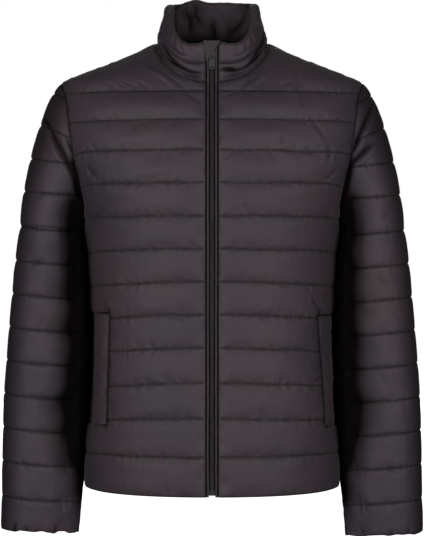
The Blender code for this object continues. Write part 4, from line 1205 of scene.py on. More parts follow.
# The folds on the front of each sleeve, as on the fronts
SLEEVE_FOLDS = {
    "right": (
        (246.0, -118.0, 189.0, -224.0, 9.0, 4.5),
        (252.0, -108.0, 240.0, -130.0, 3.0, 3.0),
        (216.0, -140.0, 198.0, -180.0, 2.5, 4.0),
        (204.0, -206.0, 186.0, -244.0, 6.0, 6.0),
        (262.0, -236.0, 246.0, -222.0, 1.2, 4.0),
        (268.0, -332.0, 240.0, -318.0, 1.3, 4.0),
        (258.0, -430.0, 244.0, -402.0, 1.1, 4.5),
        (300.0, -470.0, 286.0, -446.0, 1.0, 4.0),
        (240.0, -548.0, 262.0, -566.0, 1.2, 4.0),
        (286.0, -612.0, 268.0, -640.0, 1.2, 4.0),
        (296.0, -727.0, 288.0, -712.0, 2.4, 3.0),
        (276.0, -727.0, 272.0, -716.0, 2.0, 2.4),
        (259.0, -727.0, 261.0, -720.0, 1.4, 2.2),
        (230.0, -727.0, 236.0, -717.0, 2.0, 2.4),
    ),
    "left": (
        (243.0, -82.0, 196.0, -188.0, 7.0, 4.5),
        (240.0, -148.0, 194.0, -190.0, 6.5, 4.0),
        (206.0, -172.0, 187.0, -234.0, 8.0, 6.0),
        (250.0, -262.0, 266.0, -246.0, 1.1, 4.0),
        (240.0, -346.0, 262.0, -362.0, 1.4, 4.0),
        (284.0, -418.0, 264.0, -400.0, 1.0, 4.0),
        (244.0, -480.0, 258.0, -508.0, 1.2, 4.5),
        (296.0, -560.0, 280.0, -540.0, 1.0, 4.0),
        (252.0, -622.0, 274.0, -640.0, 1.3, 4.0),
        (290.0, -732.0, 294.0, -718.0, 1.8, 2.4),
        (266.0, -732.0, 262.0, -722.0, 1.6, 2.2),
        (226.0, -732.0, 222.0, -720.0, 1.8, 2.6),
    ),
}

for name, seed, flip, drop in (("sleeve_left", 51, False, 5.0), ("sleeve_right", 67, True, 0.0)):
    grid, channel, share, along, seam, ring = sleeve_grid(drop)
    normals = ring_normals(grid)
    steps = np.linalg.norm(np.roll(grid, -1, axis=1) - grid, axis=2)
    length = np.cumsum(steps, axis=1) - steps
    around = length.mean(axis=0)[None, :] + 0.0 * length
    rise = quilting(channel + 0.0 * around, share + 0.0 * around, around, ROW_SPACING, seed)
    pressed = rising(-np.cos(ring), CONTACT_START, CONTACT_WIDTH)[None, :]
    rise *= mix(1.0, OUTER_FILL, np.clip(np.cos(ring), 0, 1) ** 2)[None, :]
    rise = mix(rise, CONTACT_RISE, pressed)
    behind = np.exp(-((np.degrees(ring) - BULGE_TURN) / BULGE_WIDTH) ** 2)[None, :]
    rise += REAR_BULGE * behind * rising(along, BULGE_TOP, 0.15) * falling(along, BULGE_FOOT, 0.1)
    from_seam = np.linalg.norm(grid - grid[:1], axis=2)
    depth, painted_shade = folds_at(SLEEVE_FOLDS[name.split("_")[1]], grid[..., 0], grid[..., 2],
                             ridged=0.5, fine=1.9, wander=0.12)
    facing_front = np.clip(-normals[..., 1] * 2.5, 0, 1)
    painted_shade = np.minimum(SLEEVE_FOLD_SHADE * painted_shade, 1.0) * facing_front
    # Painted shade: in the folds, beside the body, under the arm, in the armhole seam and at the outer
    # silhouette
    swing = np.cos(ring)[None, :]
    painted_side_shade = shade_next_to_body(grid, normals, swing, seed)
    painted_shade = np.maximum(painted_shade, painted_side_shade)
    painted_shade = np.maximum(painted_shade, shade_under_arm(grid, normals))
    painted_shade = np.maximum(painted_shade, ARMHOLE_SHADE * np.exp(-from_seam / ARMHOLE_REACH))
    painted_shade = np.maximum(painted_shade, LIMB_SHADE * rising(swing, 0.4, 0.5) ** 1.2)
    rise = np.maximum(rise - depth * facing_front, FOLD_LIMIT)
    rise *= near_edge(from_seam, 14.0)
    outer = grid + normals * rise[..., None]
    inner = grid - normals * WALL
    from_cuff = grid[..., 2] + CUFF + drop
    scallop = CUFF_SCALLOP * lattice(seed + 40, around / 11, 0.0 * around) * np.exp(-from_cuff / 7)
    outer[..., 2] += scallop
    inner[..., 2] += scallop
    at_seam = along < 1e-6
    into = armhole_inward(seam) * WALL + 0.0 * grid
    inner[at_seam] = (grid + into)[at_seam]
    for points in (outer, inner):
        points[at_seam, 0] += SEAM_GAP / 2
    held = at_seam | (share == 0) | (np.arange(len(share)) == len(share) - 1)[:, None]
    outer = settled(outer, held + 0.0 * along, tube=True)
    if flip:
        outer, inner, normals = mirrored(outer), mirrored(inner), mirrored(normals)
    for row in np.flatnonzero(share[:, 0] == 0)[1:]:
        free = (along[row] > 1e-6) & (painted_side_shade[row] < 0.4)
        order = np.roll(np.arange(len(free)), -int(np.argmin(free)))
        order = order[free[order]]
        breaks = np.flatnonzero(np.diff(order) % len(free) != 1) + 1
        sewn_rows.extend((outer[row][run], normals[row][run]) for run in np.split(order, breaks))
    quilt = np.stack((around * MM + 3.0 + flip, channel + share + 0.0 * around), -1)
    item = closed_wall(name + "_shell", outer, inner, shell, tube=True, quilt=quilt, painted_shade=painted_shade)
    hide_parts(name)
    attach(item, "jacket")

# ---------------------------------------------------------------- collar
# A stand collar of two padded layers: the shell side rolls over the top edge and the
# facing is sewn to it just inside. One quilting row runs round it, and below that row
# the cloth is gathered into folds by the neck seam.

COLLAR_WALL = 4.0
LAYER_GAP = 0.6
COLLAR_COLUMNS = 250
COLLAR_ROWS = 58
ROLL_ROWS = 12
COLLAR_HEIGHT = 62.0     # roughly, from the seam to the top edge
ROLL_RADIUS = 4.4        # of the rolled top edge, at the front
COLLAR_STRETCH = 1.15    # millimetres round the collar to a degree
COLLAR_QUILT = 0.55      # how far up the quilting row is
LOW_RISE, HIGH_RISE, SIDE_RISE = 4.4, 4.6, 4.2      # of the cloth below and above that row
COLLAR_SINK = 0.9        # how deep that row pulls in
FRONT_PART = 60.0        # degrees from the zip within which the row is drawn tight
SEAM_GATHERS, RIM_GATHERS = 1.3, 1.4
COLLAR_EASE = 0.014      # how much larger the collar's cloth is cut
BEND_TURN, BEND_WIDTH = 116.0, 24.0     # where the collar bends round to the back
BACK_TURN, BACK_WIDTH = 124.0, 26.0     # where its upright back part starts
# how strong the painted shade in the collar's folds is
COLLAR_FOLD_SHADE = 1.4
ROW_SHADE, ROW_SHADE_REACH = 0.85, 1.1  # painted shade in its quilting row, and in the neck seam
NECK_SEAM_SHADE, NECK_SEAM_REACH = 0.95, 3.0

# turn in degrees, reach, depth and height of the collar's top edge
RIM = np.array((
    (0.0, 0.0, -88.0, -4.0),
    (25.0, 33.0, -86.5, -9.0),
    (50.0, 54.0, -76.0, 2.5),
    (70.0, 63.0, -54.0, 20.0),
    (90.0, 66.0, -28.0, 37.0),
    (110.0, 67.0, 0.0, 50.0),
    (130.0, 66.5, 26.0, 56.5),
    (152.0, 50.0, 45.0, 60.0),
    (180.0, 0.0, 52.0, 62.0),
))
RIM_REACH, RIM_DEPTH, RIM_HEIGHT = 1, 2, 3

# The collar's folds: turn in degrees (0 the zip, + the wearer's left) and share of the
# height at each end, depth and width in millimetres. A negative depth is a ridge.
COLLAR_FOLDS = np.array((
    (-8.0, 0.27, -62.0, 0.36, 4.9, 3.2),
    (-30.0, 0.33, -70.0, 0.5, 3.5, 3.0),
    (-8.0, 0.12, -34.0, 0.16, 2.2, 2.4),
    (-12.0, 0.19, -26.0, 0.2, -1.9, 2.2),
    (-50.0, 0.14, -84.0, 0.34, 2.4, 3.0),
    (-74.0, 0.7, -96.0, 0.42, 2.2, 4.0),
    (-20.0, 0.74, -60.0, 0.7, 1.2, 5.0),
    (8.0, 0.4, 24.0, 0.36, 4.3, 2.4),
    (11.0, 0.31, 31.0, 0.29, 4.1, 2.2),
    (10.0, 0.35, 25.0, 0.325, -3.0, 2.2),
    (24.0, 0.24, 74.0, 0.42, 4.6, 3.0),
    (40.0, 0.36, 82.0, 0.54, 3.8, 3.0),
    (9.0, 0.14, 40.0, 0.15, 2.2, 2.6),
    (66.0, 0.2, 98.0, 0.32, 3.0, 3.2),
    (60.0, 0.62, 96.0, 0.5, 2.4, 4.0),
    (16.0, 0.72, 52.0, 0.78, 1.2, 5.0),
    (112.0, 0.3, 150.0, 0.36, 3.0, 3.4),
    (138.0, 0.22, 176.0, 0.27, 3.2, 3.0),
    (-118.0, 0.34, -148.0, 0.3, 3.2, 3.4),
    (-140.0, 0.24, -178.0, 0.3, 3.0, 3.2),
    (-108.0, 0.74, -130.0, 0.66, 1.9, 5.0),
    (120.0, 0.72, 140.0, 0.78, 1.9, 5.0),
))

# The facing's upright folds: turn in degrees and height share at each end, depth, width
FACING_FOLDS = np.array((
    (202.0, 1.05, 197.0, 0.3, 5.5, 5.0),
    (196.0, 1.0, 189.0, 0.5, -3.0, 5.5),
    (178.0, 0.8, 181.0, 0.1, 4.2, 5.5),
    (150.0, 0.75, 163.0, 0.3, 3.6, 6.0),
    (141.0, 0.95, 150.0, 0.4, -2.4, 6.0),
    (126.0, 0.9, 118.0, 0.35, 2.8, 6.0),
    (97.0, 0.9, 100.0, 0.2, 2.6, 6.0),
    (74.0, 0.95, 78.0, 0.4, 1.8, 5.0),
    (226.0, 0.95, 218.0, 0.2, 3.6, 6.0),
    (246.0, 0.9, 240.0, 0.4, 2.4, 6.0),
    (268.0, 0.95, 262.0, 0.3, 2.4, 6.0),
    (292.0, 0.95, 286.0, 0.4, 1.8, 5.0),
))


def rim_point(turn):
    """Points of the collar's top edge; turn runs 0 to 2 pi from the centre front."""
    half = np.degrees(np.where(turn <= math.pi, turn, 2 * math.pi - turn))
    side = np.where(turn <= math.pi, 1.0, -1.0)
    reach = smooth_column(RIM, RIM_REACH, half) * side
    depth = smooth_column(RIM, RIM_DEPTH, half)
    height = smooth_column(RIM, RIM_HEIGHT, half)
    behind = rising(depth, 10, 30)
    peak, dip = (5.0 * np.exp(-((reach + 26) / 13) ** 2), 3.0 * np.exp(-((reach + 62) / 14) ** 2))
    height = height + behind * (peak - dip)
    height = height + 0.8 * lattice(81, np.degrees(turn) / 9, 0.0 * turn)
    return np.stack((reach, depth, height), -1)


def rim_turn_at_zip():
    """The rim's turn where the collar's front edge meets it."""
    turns = np.linspace(0, math.pi / 4, 400)
    return float(np.interp(ZIP_OPENING, rim_point(turns)[:, 0], turns))


def collar_base(turn):
    """The neckline, lifted off the body panels' edge by the seam's gap."""
    inward = neck_inward(turn)
    return neck_point(turn) + inward * np.array((1.0, 1.0, -1.0)) * SEAM_GAP


def collar_form(shares):
    """The collar's middle grid and its outward normals, from the seam up."""
    edge = np.linspace(0, 1, COLLAR_COLUMNS)
    base_turn = mix(NECK_TURN_AT_ZIP, 2 * math.pi - NECK_TURN_AT_ZIP, edge)
    start = rim_turn_at_zip()
    rim_turn = mix(start, 2 * math.pi - start, edge)
    base, rim = collar_base(base_turn), rim_point(rim_turn)
    grid = mix(base[None], rim[None], shares[..., None])
    normals = grid_normals(grid, (grid - (0.0, -20.0, 0.0)) * (1.0, 1.0, 0.0))
    level = unit(normals * (1.0, 1.0, 0.15))
    return grid, level, np.degrees(base_turn)


up = np.linspace(0, 1, COLLAR_ROWS)[:, None] + np.zeros((1, COLLAR_COLUMNS))
grid, normals, turns = collar_form(up)
turn = np.where(turns <= 180, turns, turns - 360)[None, :]
bend = np.exp(-((np.abs(turn[0]) - BEND_TURN) / BEND_WIDTH) ** 2)
behind = rising(np.abs(turn[0]), BACK_TURN, BACK_WIDTH)
roll_radius = ROLL_RADIUS + 1.6 * bend - 2.0 * behind * (1 - bend)
length = lengths_across(grid)
quilt_distance = np.abs(up - COLLAR_QUILT) * COLLAR_HEIGHT
low_half = falling(up, COLLAR_QUILT, COLLAR_QUILT)
high_half = rising(up, COLLAR_QUILT, 1 - COLLAR_QUILT)
low_rise = LOW_RISE * np.sin(math.pi * low_half) ** 0.5
rise = np.where(up < COLLAR_QUILT, low_rise, HIGH_RISE * np.sin(math.pi * mix(0, 0.62, high_half)) ** 0.5)
at_side = rising(np.abs(turn), 56, 26) * falling(np.abs(turn), 140, 24)
rise = mix(rise, SIDE_RISE * np.sin(math.pi * mix(0, 0.72, up)) ** 0.4, 0.85 * at_side)
slack = rising(np.abs(turn), 0, FRONT_PART)
rise -= COLLAR_SINK * np.exp(-(quilt_distance / 1.4) ** 2) * mix(1.0, 0.1, slack)
folds = COLLAR_FOLDS * (COLLAR_STRETCH, COLLAR_HEIGHT, COLLAR_STRETCH, COLLAR_HEIGHT, 1.0, 0.8)
depth, painted_shade = folds_at(folds, turn * COLLAR_STRETCH, up * COLLAR_HEIGHT, fine=1.7)
painted_shade = np.minimum(COLLAR_FOLD_SHADE * painted_shade, 1.0)
rise -= depth * mix(1.0, 0.45, at_side)
gathers = SEAM_GATHERS * lattice(84, length / 4.2, up) * np.exp(-up * COLLAR_HEIGHT / 8)
gathers *= rising(up * COLLAR_HEIGHT, 0, 2)
gathers += RIM_GATHERS * lattice(85, length / 6.5, up) * np.exp(-(1 - up) * COLLAR_HEIGHT / 11)
rise += 0.8 * gathers + 0.7 * lattice(86, length / 26, up * 3.4)
edge = np.minimum(length, length[:, -1:] - length)
rise *= mix(0.25, 1.0, near_edge(edge, 8.0)) * near_edge(up * COLLAR_HEIGHT, 4.0)
crown = rise[-1]
outer = grid + normals * rise[..., None]
held = (up == 0) | (up == 1) | (edge == 0)
outer = settled(outer, held + 0.0 * up, growth=COLLAR_EASE)
outer[..., 0] -= np.sign(outer[..., 0]) * EDGE_OVER_ZIP * np.exp(-edge / EDGE_REACH)
roll, roll_inner = [], []
top_up = unit(grid[-1] - grid[-2])
for step in range(1, ROLL_ROWS + 1):
    angle = math.pi * mix(0.94, 0.6, behind) * step / ROLL_ROWS
    reach = (roll_radius + crown / 2) * np.cos(angle) - roll_radius + crown / 2
    lift = (roll_radius + 0.5 * crown) * np.sin(angle)
    roll.append(grid[-1] + normals[-1] * reach[:, None] + top_up * lift[:, None])
    tucked = top_up * (lift - 1.6)[:, None] * 0.8
    roll_inner.append(grid[-1] + normals[-1] * (reach * 0.55 - 2.0)[:, None] + tucked)
outer = np.concatenate((outer, np.array(roll)))
inner = np.concatenate((grid - normals * COLLAR_WALL, np.array(roll_inner)))
for points in (outer, inner):
    points[COLLAR_ROWS:, :, 2] -= roll_radius * 0.6
    points[:COLLAR_ROWS, :, 2] -= up * roll_radius * 0.6
# Painted shade in the collar's folds, its quilting row and the neck seam
row_shade = ROW_SHADE * np.exp(-quilt_distance / ROW_SHADE_REACH) * (np.abs(turn) < FRONT_PART)
seam_shade = NECK_SEAM_SHADE * np.exp(-up * COLLAR_HEIGHT / NECK_SEAM_REACH)
painted_shade = np.maximum(np.maximum(painted_shade, row_shade), seam_shade)
painted_shade = np.concatenate((painted_shade, painted_shade[-1:] * np.ones((ROLL_ROWS, 1))))
item = closed_wall("collar_shell", outer, inner, shell, painted_shade=painted_shade)
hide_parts("collar_outer")
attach(item, "jacket")

# Facing and lining: a matt black taffeta, lightly crumpled where the collar bends.
LINING_PATCH = 71.43
LINING_CRUMPLE = 4.167
lining, tree, shader = new_material("taffeta_lining")
place = add_node(tree, "ShaderNodeTexCoord")
patches = add_node(tree, "ShaderNodeTexNoise", {"Scale": per_metre(LINING_PATCH), "Detail": 3.0},
                   Vector=place.outputs["Object"])
dye = two_tone(tree, patches.outputs["Fac"], "#312a2f", "#3d343a")
# Painted shade: the dye and the gloss are darkened by each point's painted shade, in the folds and down inside
# the neck
painted_shade_factor = add_node(tree, "ShaderNodeAttribute", {"attribute_name": "painted_shade"})
painted_shade_factor = calculate(tree, "SUBTRACT", 1.0, calculate(tree, "MULTIPLY", painted_shade_factor.outputs["Fac"], FULL_PAINTED_SHADE))
shaded_dye = add_node(tree, "ShaderNodeHueSaturation", Color=dye.outputs["Color"], Value=painted_shade_factor)
tree.links.new(shaded_dye.outputs["Color"], shader.inputs["Base Color"])
shader.inputs["Roughness"].default_value = 0.7
tree.links.new(calculate(tree, "MULTIPLY", painted_shade_factor, 0.25), shader.inputs["Specular IOR Level"])
fine = add_node(tree, "ShaderNodeTexNoise", {"Scale": per_metre(LINING_CRUMPLE), "Detail": 3.0},
                Vector=place.outputs["Object"])
bump = add_node(tree, "ShaderNodeBump", {"Strength": 0.3, "Distance": 0.0006}, Height=fine.outputs["Fac"])
tree.links.new(bump.outputs["Normal"], shader.inputs["Normal"])

FACING_ROWS = 40
FACING_FOOT = -0.03      # it starts a little below the neck seam
FACING_SWELL = 2.0
LEAST_FACING = 0.8       # its least thickness
top_share = mix(0.93, 1.02, behind)
up = np.linspace(FACING_FOOT, 1, FACING_ROWS)[:, None] * top_share[None, :]
grid, normals, turns = collar_form(up)
folds = FACING_FOLDS * (COLLAR_STRETCH, COLLAR_HEIGHT, COLLAR_STRETCH, COLLAR_HEIGHT, 1.0, 1.0)
depth, painted_shade = folds_at(folds, turns[None, :] * COLLAR_STRETCH, up * COLLAR_HEIGHT, ridged=0.7)
depth += 1.3 * lattice(87, turns[None, :] / 9, up * 3) + 0.8 * lattice(88, turns[None, :] / 4, up * 2)
edge = lengths_across(grid)
edge = np.minimum(edge, edge[:, -1:] - edge)
depth = depth * near_edge(edge, 14.0)
swell = FACING_SWELL * np.sin(math.pi * np.clip(up, 0, 1)) ** 0.7
thick = mix(2 * ROLL_RADIUS, 2 * roll_radius[None, :], np.maximum(up, 0) ** 3)
outside = grid - normals * (COLLAR_WALL + LAYER_GAP)
inside = grid - normals * (thick + swell - depth)[..., None]
shallow = ((inside - outside) * normals).sum(-1)[..., None] > -LEAST_FACING
inside = np.where(shallow, outside - normals * LEAST_FACING, inside)
for points in (outside, inside):
    points[..., 2] -= up * roll_radius[None, :] * 0.6
NECK_SHADE = 0.92        # painted shade down inside the neck
deep = rising(0.5 - up + 0.06 * lattice(89, turns[None, :] / 14, up), 0, 0.3)
painted_shade = np.maximum(painted_shade, NECK_SHADE * deep)
item = closed_wall("collar_facing_lining", inside, outside, lining, painted_shade=painted_shade)
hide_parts("collar_facing")
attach(item, "jacket")

# ---------------------------------------------------------------- zip
# A coil zip on woven tape, set in behind two folded strips of shell cloth that guard it.
# The coil is one twisted filament on each tape; its loops lock from side to side.

ZIP_FOOT = 662.0
RETAINER_HEIGHT = 8.0
PIVOT_DROP = 25.0
SLIDER_TOP = 9.0
LIP_ROWS, TAPE_ROWS = 240, 160
LIP_EDGES = (4.7, 10.75)    # of each lip, out from the centre
TAPE_EDGES = (0.15, 10.4)
TAPE_DEPTHS = (-1.3, -2.1)
TOOTH_PITCH = 1.45
TOOTH_LENGTH = 3.3
TOOTH_RADIUS = 0.42
TOOTH_BEND = 0.45        # how far a loop's middle stands out
TOOTH_LEAN = 24.0
TOOTH_OFFSET = 1.15      # of a loop's middle, out from the centre


def front_line(drop):
    """The centre front at a drop below the origin, and the direction out of the cloth."""
    neck = collar_base(np.array(NECK_TURN_AT_ZIP))
    rim = rim_point(np.array(rim_turn_at_zip()))
    drop = np.asarray(drop, float)
    share = (-drop - neck[2]) / (rim[2] - neck[2])
    on_collar = neck[1] + (rim[1] - neck[1]) * share
    step = 5.0
    on_front = torso_point(FRONT, -drop, turn_at(FRONT, -drop, ZIP_OPENING))[..., 1]
    lower = torso_point(FRONT, -drop - step, turn_at(FRONT, -drop - step, ZIP_OPENING))[..., 1]
    above = drop <= -neck[2]
    depth = np.where(above, on_collar, on_front)
    rise = np.where(above, rim[1] - neck[1], on_front - lower)
    run = np.where(above, rim[2] - neck[2], step)
    out = unit(np.stack((0.0 * drop, -run, rise), -1))
    return np.stack((0.0 * drop, depth, -drop), -1), out


def down_front(section, drops, wave=None):
    """Carry a closed section (out from the centre, out of the cloth) down the front."""
    line, out = front_line(drops)
    across = np.array((1.0, 0.0, 0.0))
    wave = np.zeros_like(drops) if wave is None else wave
    grid = [line + across * (x + wave)[:, None] + out * z for x, z in section]
    return np.stack(grid, axis=1)


def tube_mesh(name, grid, material):
    """A closed tube from a grid whose rows are rings, with both its ends filled."""
    columns = grid.shape[1]
    work = bmesh.new()
    verts = [[work.verts.new(point * MM) for point in row] for row in grid]
    for low, high in zip(verts[:-1], verts[1:]):
        for column in range(columns):
            after = (column + 1) % columns
            work.faces.new((low[column], low[after], high[after], high[column]))
    work.faces.new(verts[0])
    work.faces.new(verts[-1])
    bmesh.ops.recalc_face_normals(work, faces=work.faces)
    mesh = bpy.data.meshes.new(name)
    work.to_mesh(mesh)
    work.free()
    mesh.shade_smooth()
    mesh.set_sharp_from_angle(angle=math.radians(50))
    mesh.uv_layers.new(name="quilt")
    mesh.uv_layers["quilt"].data.foreach_set("uv", np.full(len(mesh.loops) * 2, OFF_THE_LINES, np.float32))
    mesh.materials.append(material)
    return new_item(name, mesh)


# Each lip: a strip folded double, its fold towards the coil and its raw edges in the seam.
# Painted shade darkens the valley between it and the front's edge, and its underside.
rim_drop = -float(rim_point(np.array(rim_turn_at_zip()))[2])
drops = np.linspace(rim_drop - 2.0, ZIP_FOOT + 2.5, LIP_ROWS)
for name, side, seed in (("zip_lip_left", 1, 91), ("zip_lip_right", -1, 92)):
    inner, outer = LIP_EDGES
    bead = inner + 1.5
    section = [(outer, -1.1), (outer - 1.2, -1.0), (inner + 3.0, -0.9), (inner + 2.5, 1.2),
               (bead, 1.9), (inner + 0.5, 1.7), (inner, 0.9), (inner + 0.1, -0.3),
               (inner + 0.9, -1.2), (outer - 2.0, -3.2), (outer, -3.2)]
    lip_painted_shade = np.array((0.95, 0.95, 0.95, 0.2, 0.0, 0.0, 0.2, 0.8, 0.9, 0.9, 0.9))
    wave = 0.25 * lattice(seed, drops / 31, 0.0 * drops) + 0.15 * lattice(seed + 2, drops / 6, 0.0 * drops)
    grid = down_front([(x * side, z) for x, z in section], drops)
    free = (outer - np.array(section)[:, 0]) / (outer - inner)
    grid[..., 0] += wave[:, None] * np.clip(free, 0, 1)[None, :]
    item = tube_mesh(name + "_fold", grid, shell)
    set_painted_shade(item.data, np.tile(lip_painted_shade, len(drops)))
    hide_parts(name)
    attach(item, "jacket")

# Tape: a black herringbone twill of polyester, matt, its ribs running up to the coil. They
# are drawn coarser than woven ones, which are too fine to show.
TAPE_RIB = 3.696         # from one rib to the next, up the tape
RIB_AT_ONE = math.tau / 10      # how far apart slanting ribs are at a scale of 1
tape, tree, shader = new_material("woven_zip_tape")
place = add_node(tree, "ShaderNodeTexCoord")
ribs = add_node(tree, "ShaderNodeTexWave",
                {"Scale": RIB_AT_ONE * per_metre(TAPE_RIB), "Distortion": 0.4, "bands_direction": "DIAGONAL"},
                Vector=place.outputs["Object"])
yarn = two_tone(tree, ribs.outputs["Fac"], "#0a090a", "#151315")
tree.links.new(yarn.outputs["Color"], shader.inputs["Base Color"])
shader.inputs["Roughness"].default_value = 0.8
shader.inputs["Specular IOR Level"].default_value = 0.15
bump = add_node(tree, "ShaderNodeBump", {"Strength": 0.5, "Distance": 0.0004}, Height=ribs.outputs["Fac"])
tree.links.new(bump.outputs["Normal"], shader.inputs["Normal"])
drops = np.linspace(rim_drop, ZIP_FOOT, TAPE_ROWS)
for name, side in (("zip_tape_left", 1), ("zip_tape_right", -1)):
    inner, outer = TAPE_EDGES
    front, rear = TAPE_DEPTHS
    section = [(inner, front), (inner, rear), (outer, rear), (outer, front)]
    item = tube_mesh(name + "_weave", down_front([(x * side, z) for x, z in section], drops), tape)
    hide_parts(name)
    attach(item, "jacket")

# Coil: nylon monofilament, black, with a dull plastic gloss.
COIL_GRAIN = 2.5
coil, tree, shader = new_material("nylon_coil")
place = add_node(tree, "ShaderNodeTexCoord")
grain = add_node(tree, "ShaderNodeTexNoise", {"Scale": per_metre(COIL_GRAIN), "Detail": 2.0},
                 Vector=place.outputs["Object"])
tone = two_tone(tree, grain.outputs["Fac"], "#161315", "#302c2f")
tree.links.new(tone.outputs["Color"], shader.inputs["Base Color"])
shader.inputs["Roughness"].default_value = 0.45
shader.inputs["Specular IOR Level"].default_value = 0.4

# One loop of the coil: a short bent bar, modelled once along its tape's side
bpy.ops.object.select_all(action="DESELECT")
bpy.ops.mesh.primitive_cylinder_add(vertices=6, radius=TOOTH_RADIUS * MM, depth=TOOTH_LENGTH * MM,
                                    rotation=(0.0, math.radians(90), 0.0))
tooth = bpy.context.object
bpy.ops.object.mode_set(mode="EDIT")
bpy.ops.mesh.select_all(action="SELECT")
bpy.ops.mesh.bisect(plane_co=(0.0, 0.0, 0.0), plane_no=(1.0, 0.0, 0.0))
bpy.ops.object.mode_set(mode="OBJECT")
bpy.ops.object.transform_apply()
shape = np.array([tuple(vertex.co) for vertex in tooth.data.vertices]) / MM
tooth_faces = [tuple(face.vertices) for face in tooth.data.polygons]
bpy.data.objects.remove(tooth)
shape[:, 1] -= TOOTH_BEND * np.cos(shape[:, 0] / TOOTH_LENGTH * math.pi)
points, faces = [], []
top, foot = PIVOT_DROP - SLIDER_TOP + 2.0, ZIP_FOOT - RETAINER_HEIGHT
for number, drop in enumerate(np.arange(top, foot, TOOTH_PITCH / 2)):
    side = 1 if number % 2 else -1
    line, out = front_line(drop)
    lean = math.radians(TOOTH_LEAN) * side
    local = shape * (side, 1.0, 1.0)
    x = local[:, 0] * math.cos(lean) - local[:, 2] * math.sin(lean) + side * TOOTH_OFFSET
    z = local[:, 0] * math.sin(lean) + local[:, 2] * math.cos(lean)
    rise = -local[:, 1]
    place = line + np.stack((x, 0.0 * x, z), -1) + out * rise[:, None]
    shift = len(points)
    points.extend(place * MM)
    turned = 1 if side > 0 else -1
    faces.extend(tuple(v + shift for v in face[::turned]) for face in tooth_faces)
mesh = bpy.data.meshes.new("zip_coil")
mesh.from_pydata([tuple(p) for p in points], [], faces)
mesh.shade_smooth()
mesh.set_sharp_from_angle(angle=math.radians(60))
mesh.materials.append(coil)
item = new_item("zip_coil_loops", mesh)
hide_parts("zip_chain")
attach(item, "jacket")

# Slider and pull: cast zinc, painted a dull dark grey and rubbed in places. The stop at the
# foot is moulded from the coil's own nylon.
RUBBED_SPOT = 3.125
zinc, tree, shader = new_material("painted_zinc")
place = add_node(tree, "ShaderNodeTexCoord")
rub = add_node(tree, "ShaderNodeTexNoise", {"Scale": per_metre(RUBBED_SPOT), "Detail": 4.0},
               Vector=place.outputs["Object"])
tone = two_tone(tree, rub.outputs["Fac"], "#262427", "#383538")
tree.links.new(tone.outputs["Color"], shader.inputs["Base Color"])
shader.inputs["Metallic"].default_value = 0.35
shader.inputs["Roughness"].default_value = 0.42
bump = add_node(tree, "ShaderNodeBump", {"Strength": 0.15, "Distance": 0.0002}, Height=rub.outputs["Fac"])
tree.links.new(bump.outputs["Normal"], shader.inputs["Normal"])
for name, material in (("zip_slider", zinc), ("zip_pull", zinc), ("zip_retainer", coil)):
    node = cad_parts[name]
    node.data.materials.clear()
    node.data.materials.append(material)

# ---------------------------------------------------------------- zip garage
# A small flap of twill, cut to a point, that covers the slider where the zip ends at
# the collar's edge. It is sewn in under the wearer's right lip and folded over.

GARAGE_ROWS = 26
GARAGE_STEPS = 12
GARAGE_OUT, GARAGE_BACK = 3.0, 2.5      # of its outer and inner cloth, off the front
GARAGE_BOW = 0.7
TWILL_RIB = 3.307        # as coarse as the tape's, so that it shows
# height, left edge, right edge
GARAGE = np.array((
    (-31.0, -8.6, -7.0),
    (-22.0, -10.0, -1.2),
    (-13.0, -11.6, 4.8),
    (-4.0, -13.0, 11.4),
    (-1.0, -13.2, 11.8),
))
LEFT_EDGE, RIGHT_EDGE = 1, 2
twill, tree, shader = new_material("twill_guard")
place = add_node(tree, "ShaderNodeTexCoord")
ribs = add_node(tree, "ShaderNodeTexWave",
                {"Scale": RIB_AT_ONE * per_metre(TWILL_RIB), "Distortion": 0.3, "bands_direction": "DIAGONAL"},
                Vector=place.outputs["Object"])
yarn = two_tone(tree, ribs.outputs["Fac"], "#231f21", "#3d363a")
tree.links.new(yarn.outputs["Color"], shader.inputs["Base Color"])
shader.inputs["Roughness"].default_value = 0.7
bump = add_node(tree, "ShaderNodeBump", {"Strength": 0.5, "Distance": 0.0005}, Height=ribs.outputs["Fac"])
tree.links.new(bump.outputs["Normal"], shader.inputs["Normal"])
outer, inner = [], []
for height in np.linspace(GARAGE[0, 0], GARAGE[-1, 0], GARAGE_ROWS):
    line, out = front_line(-height)
    left = smooth_column(GARAGE, LEFT_EDGE, height)
    right = smooth_column(GARAGE, RIGHT_EDGE, height)
    across = np.linspace(left, right, GARAGE_STEPS)
    bow = GARAGE_BOW * np.sin(np.linspace(0, math.pi, GARAGE_STEPS)) ** 0.5
    spot = line + np.stack((across, 0.0 * across, 0.0 * across), -1)
    outer.append(spot + out * (GARAGE_OUT + bow)[:, None])
    inner.append(spot + out * (GARAGE_BACK + bow * 0.3)[:, None])
item = closed_wall("zip_garage_flap", np.array(outer), np.array(inner), twill)
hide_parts("zip_garage")
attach(item, "jacket")

# ---------------------------------------------------------------- pocket welts
# Each hand pocket opens beside a plain strip of shell cloth, folded double and sewn down
# along its inner edge and across both ends. It has no quilting of its own.

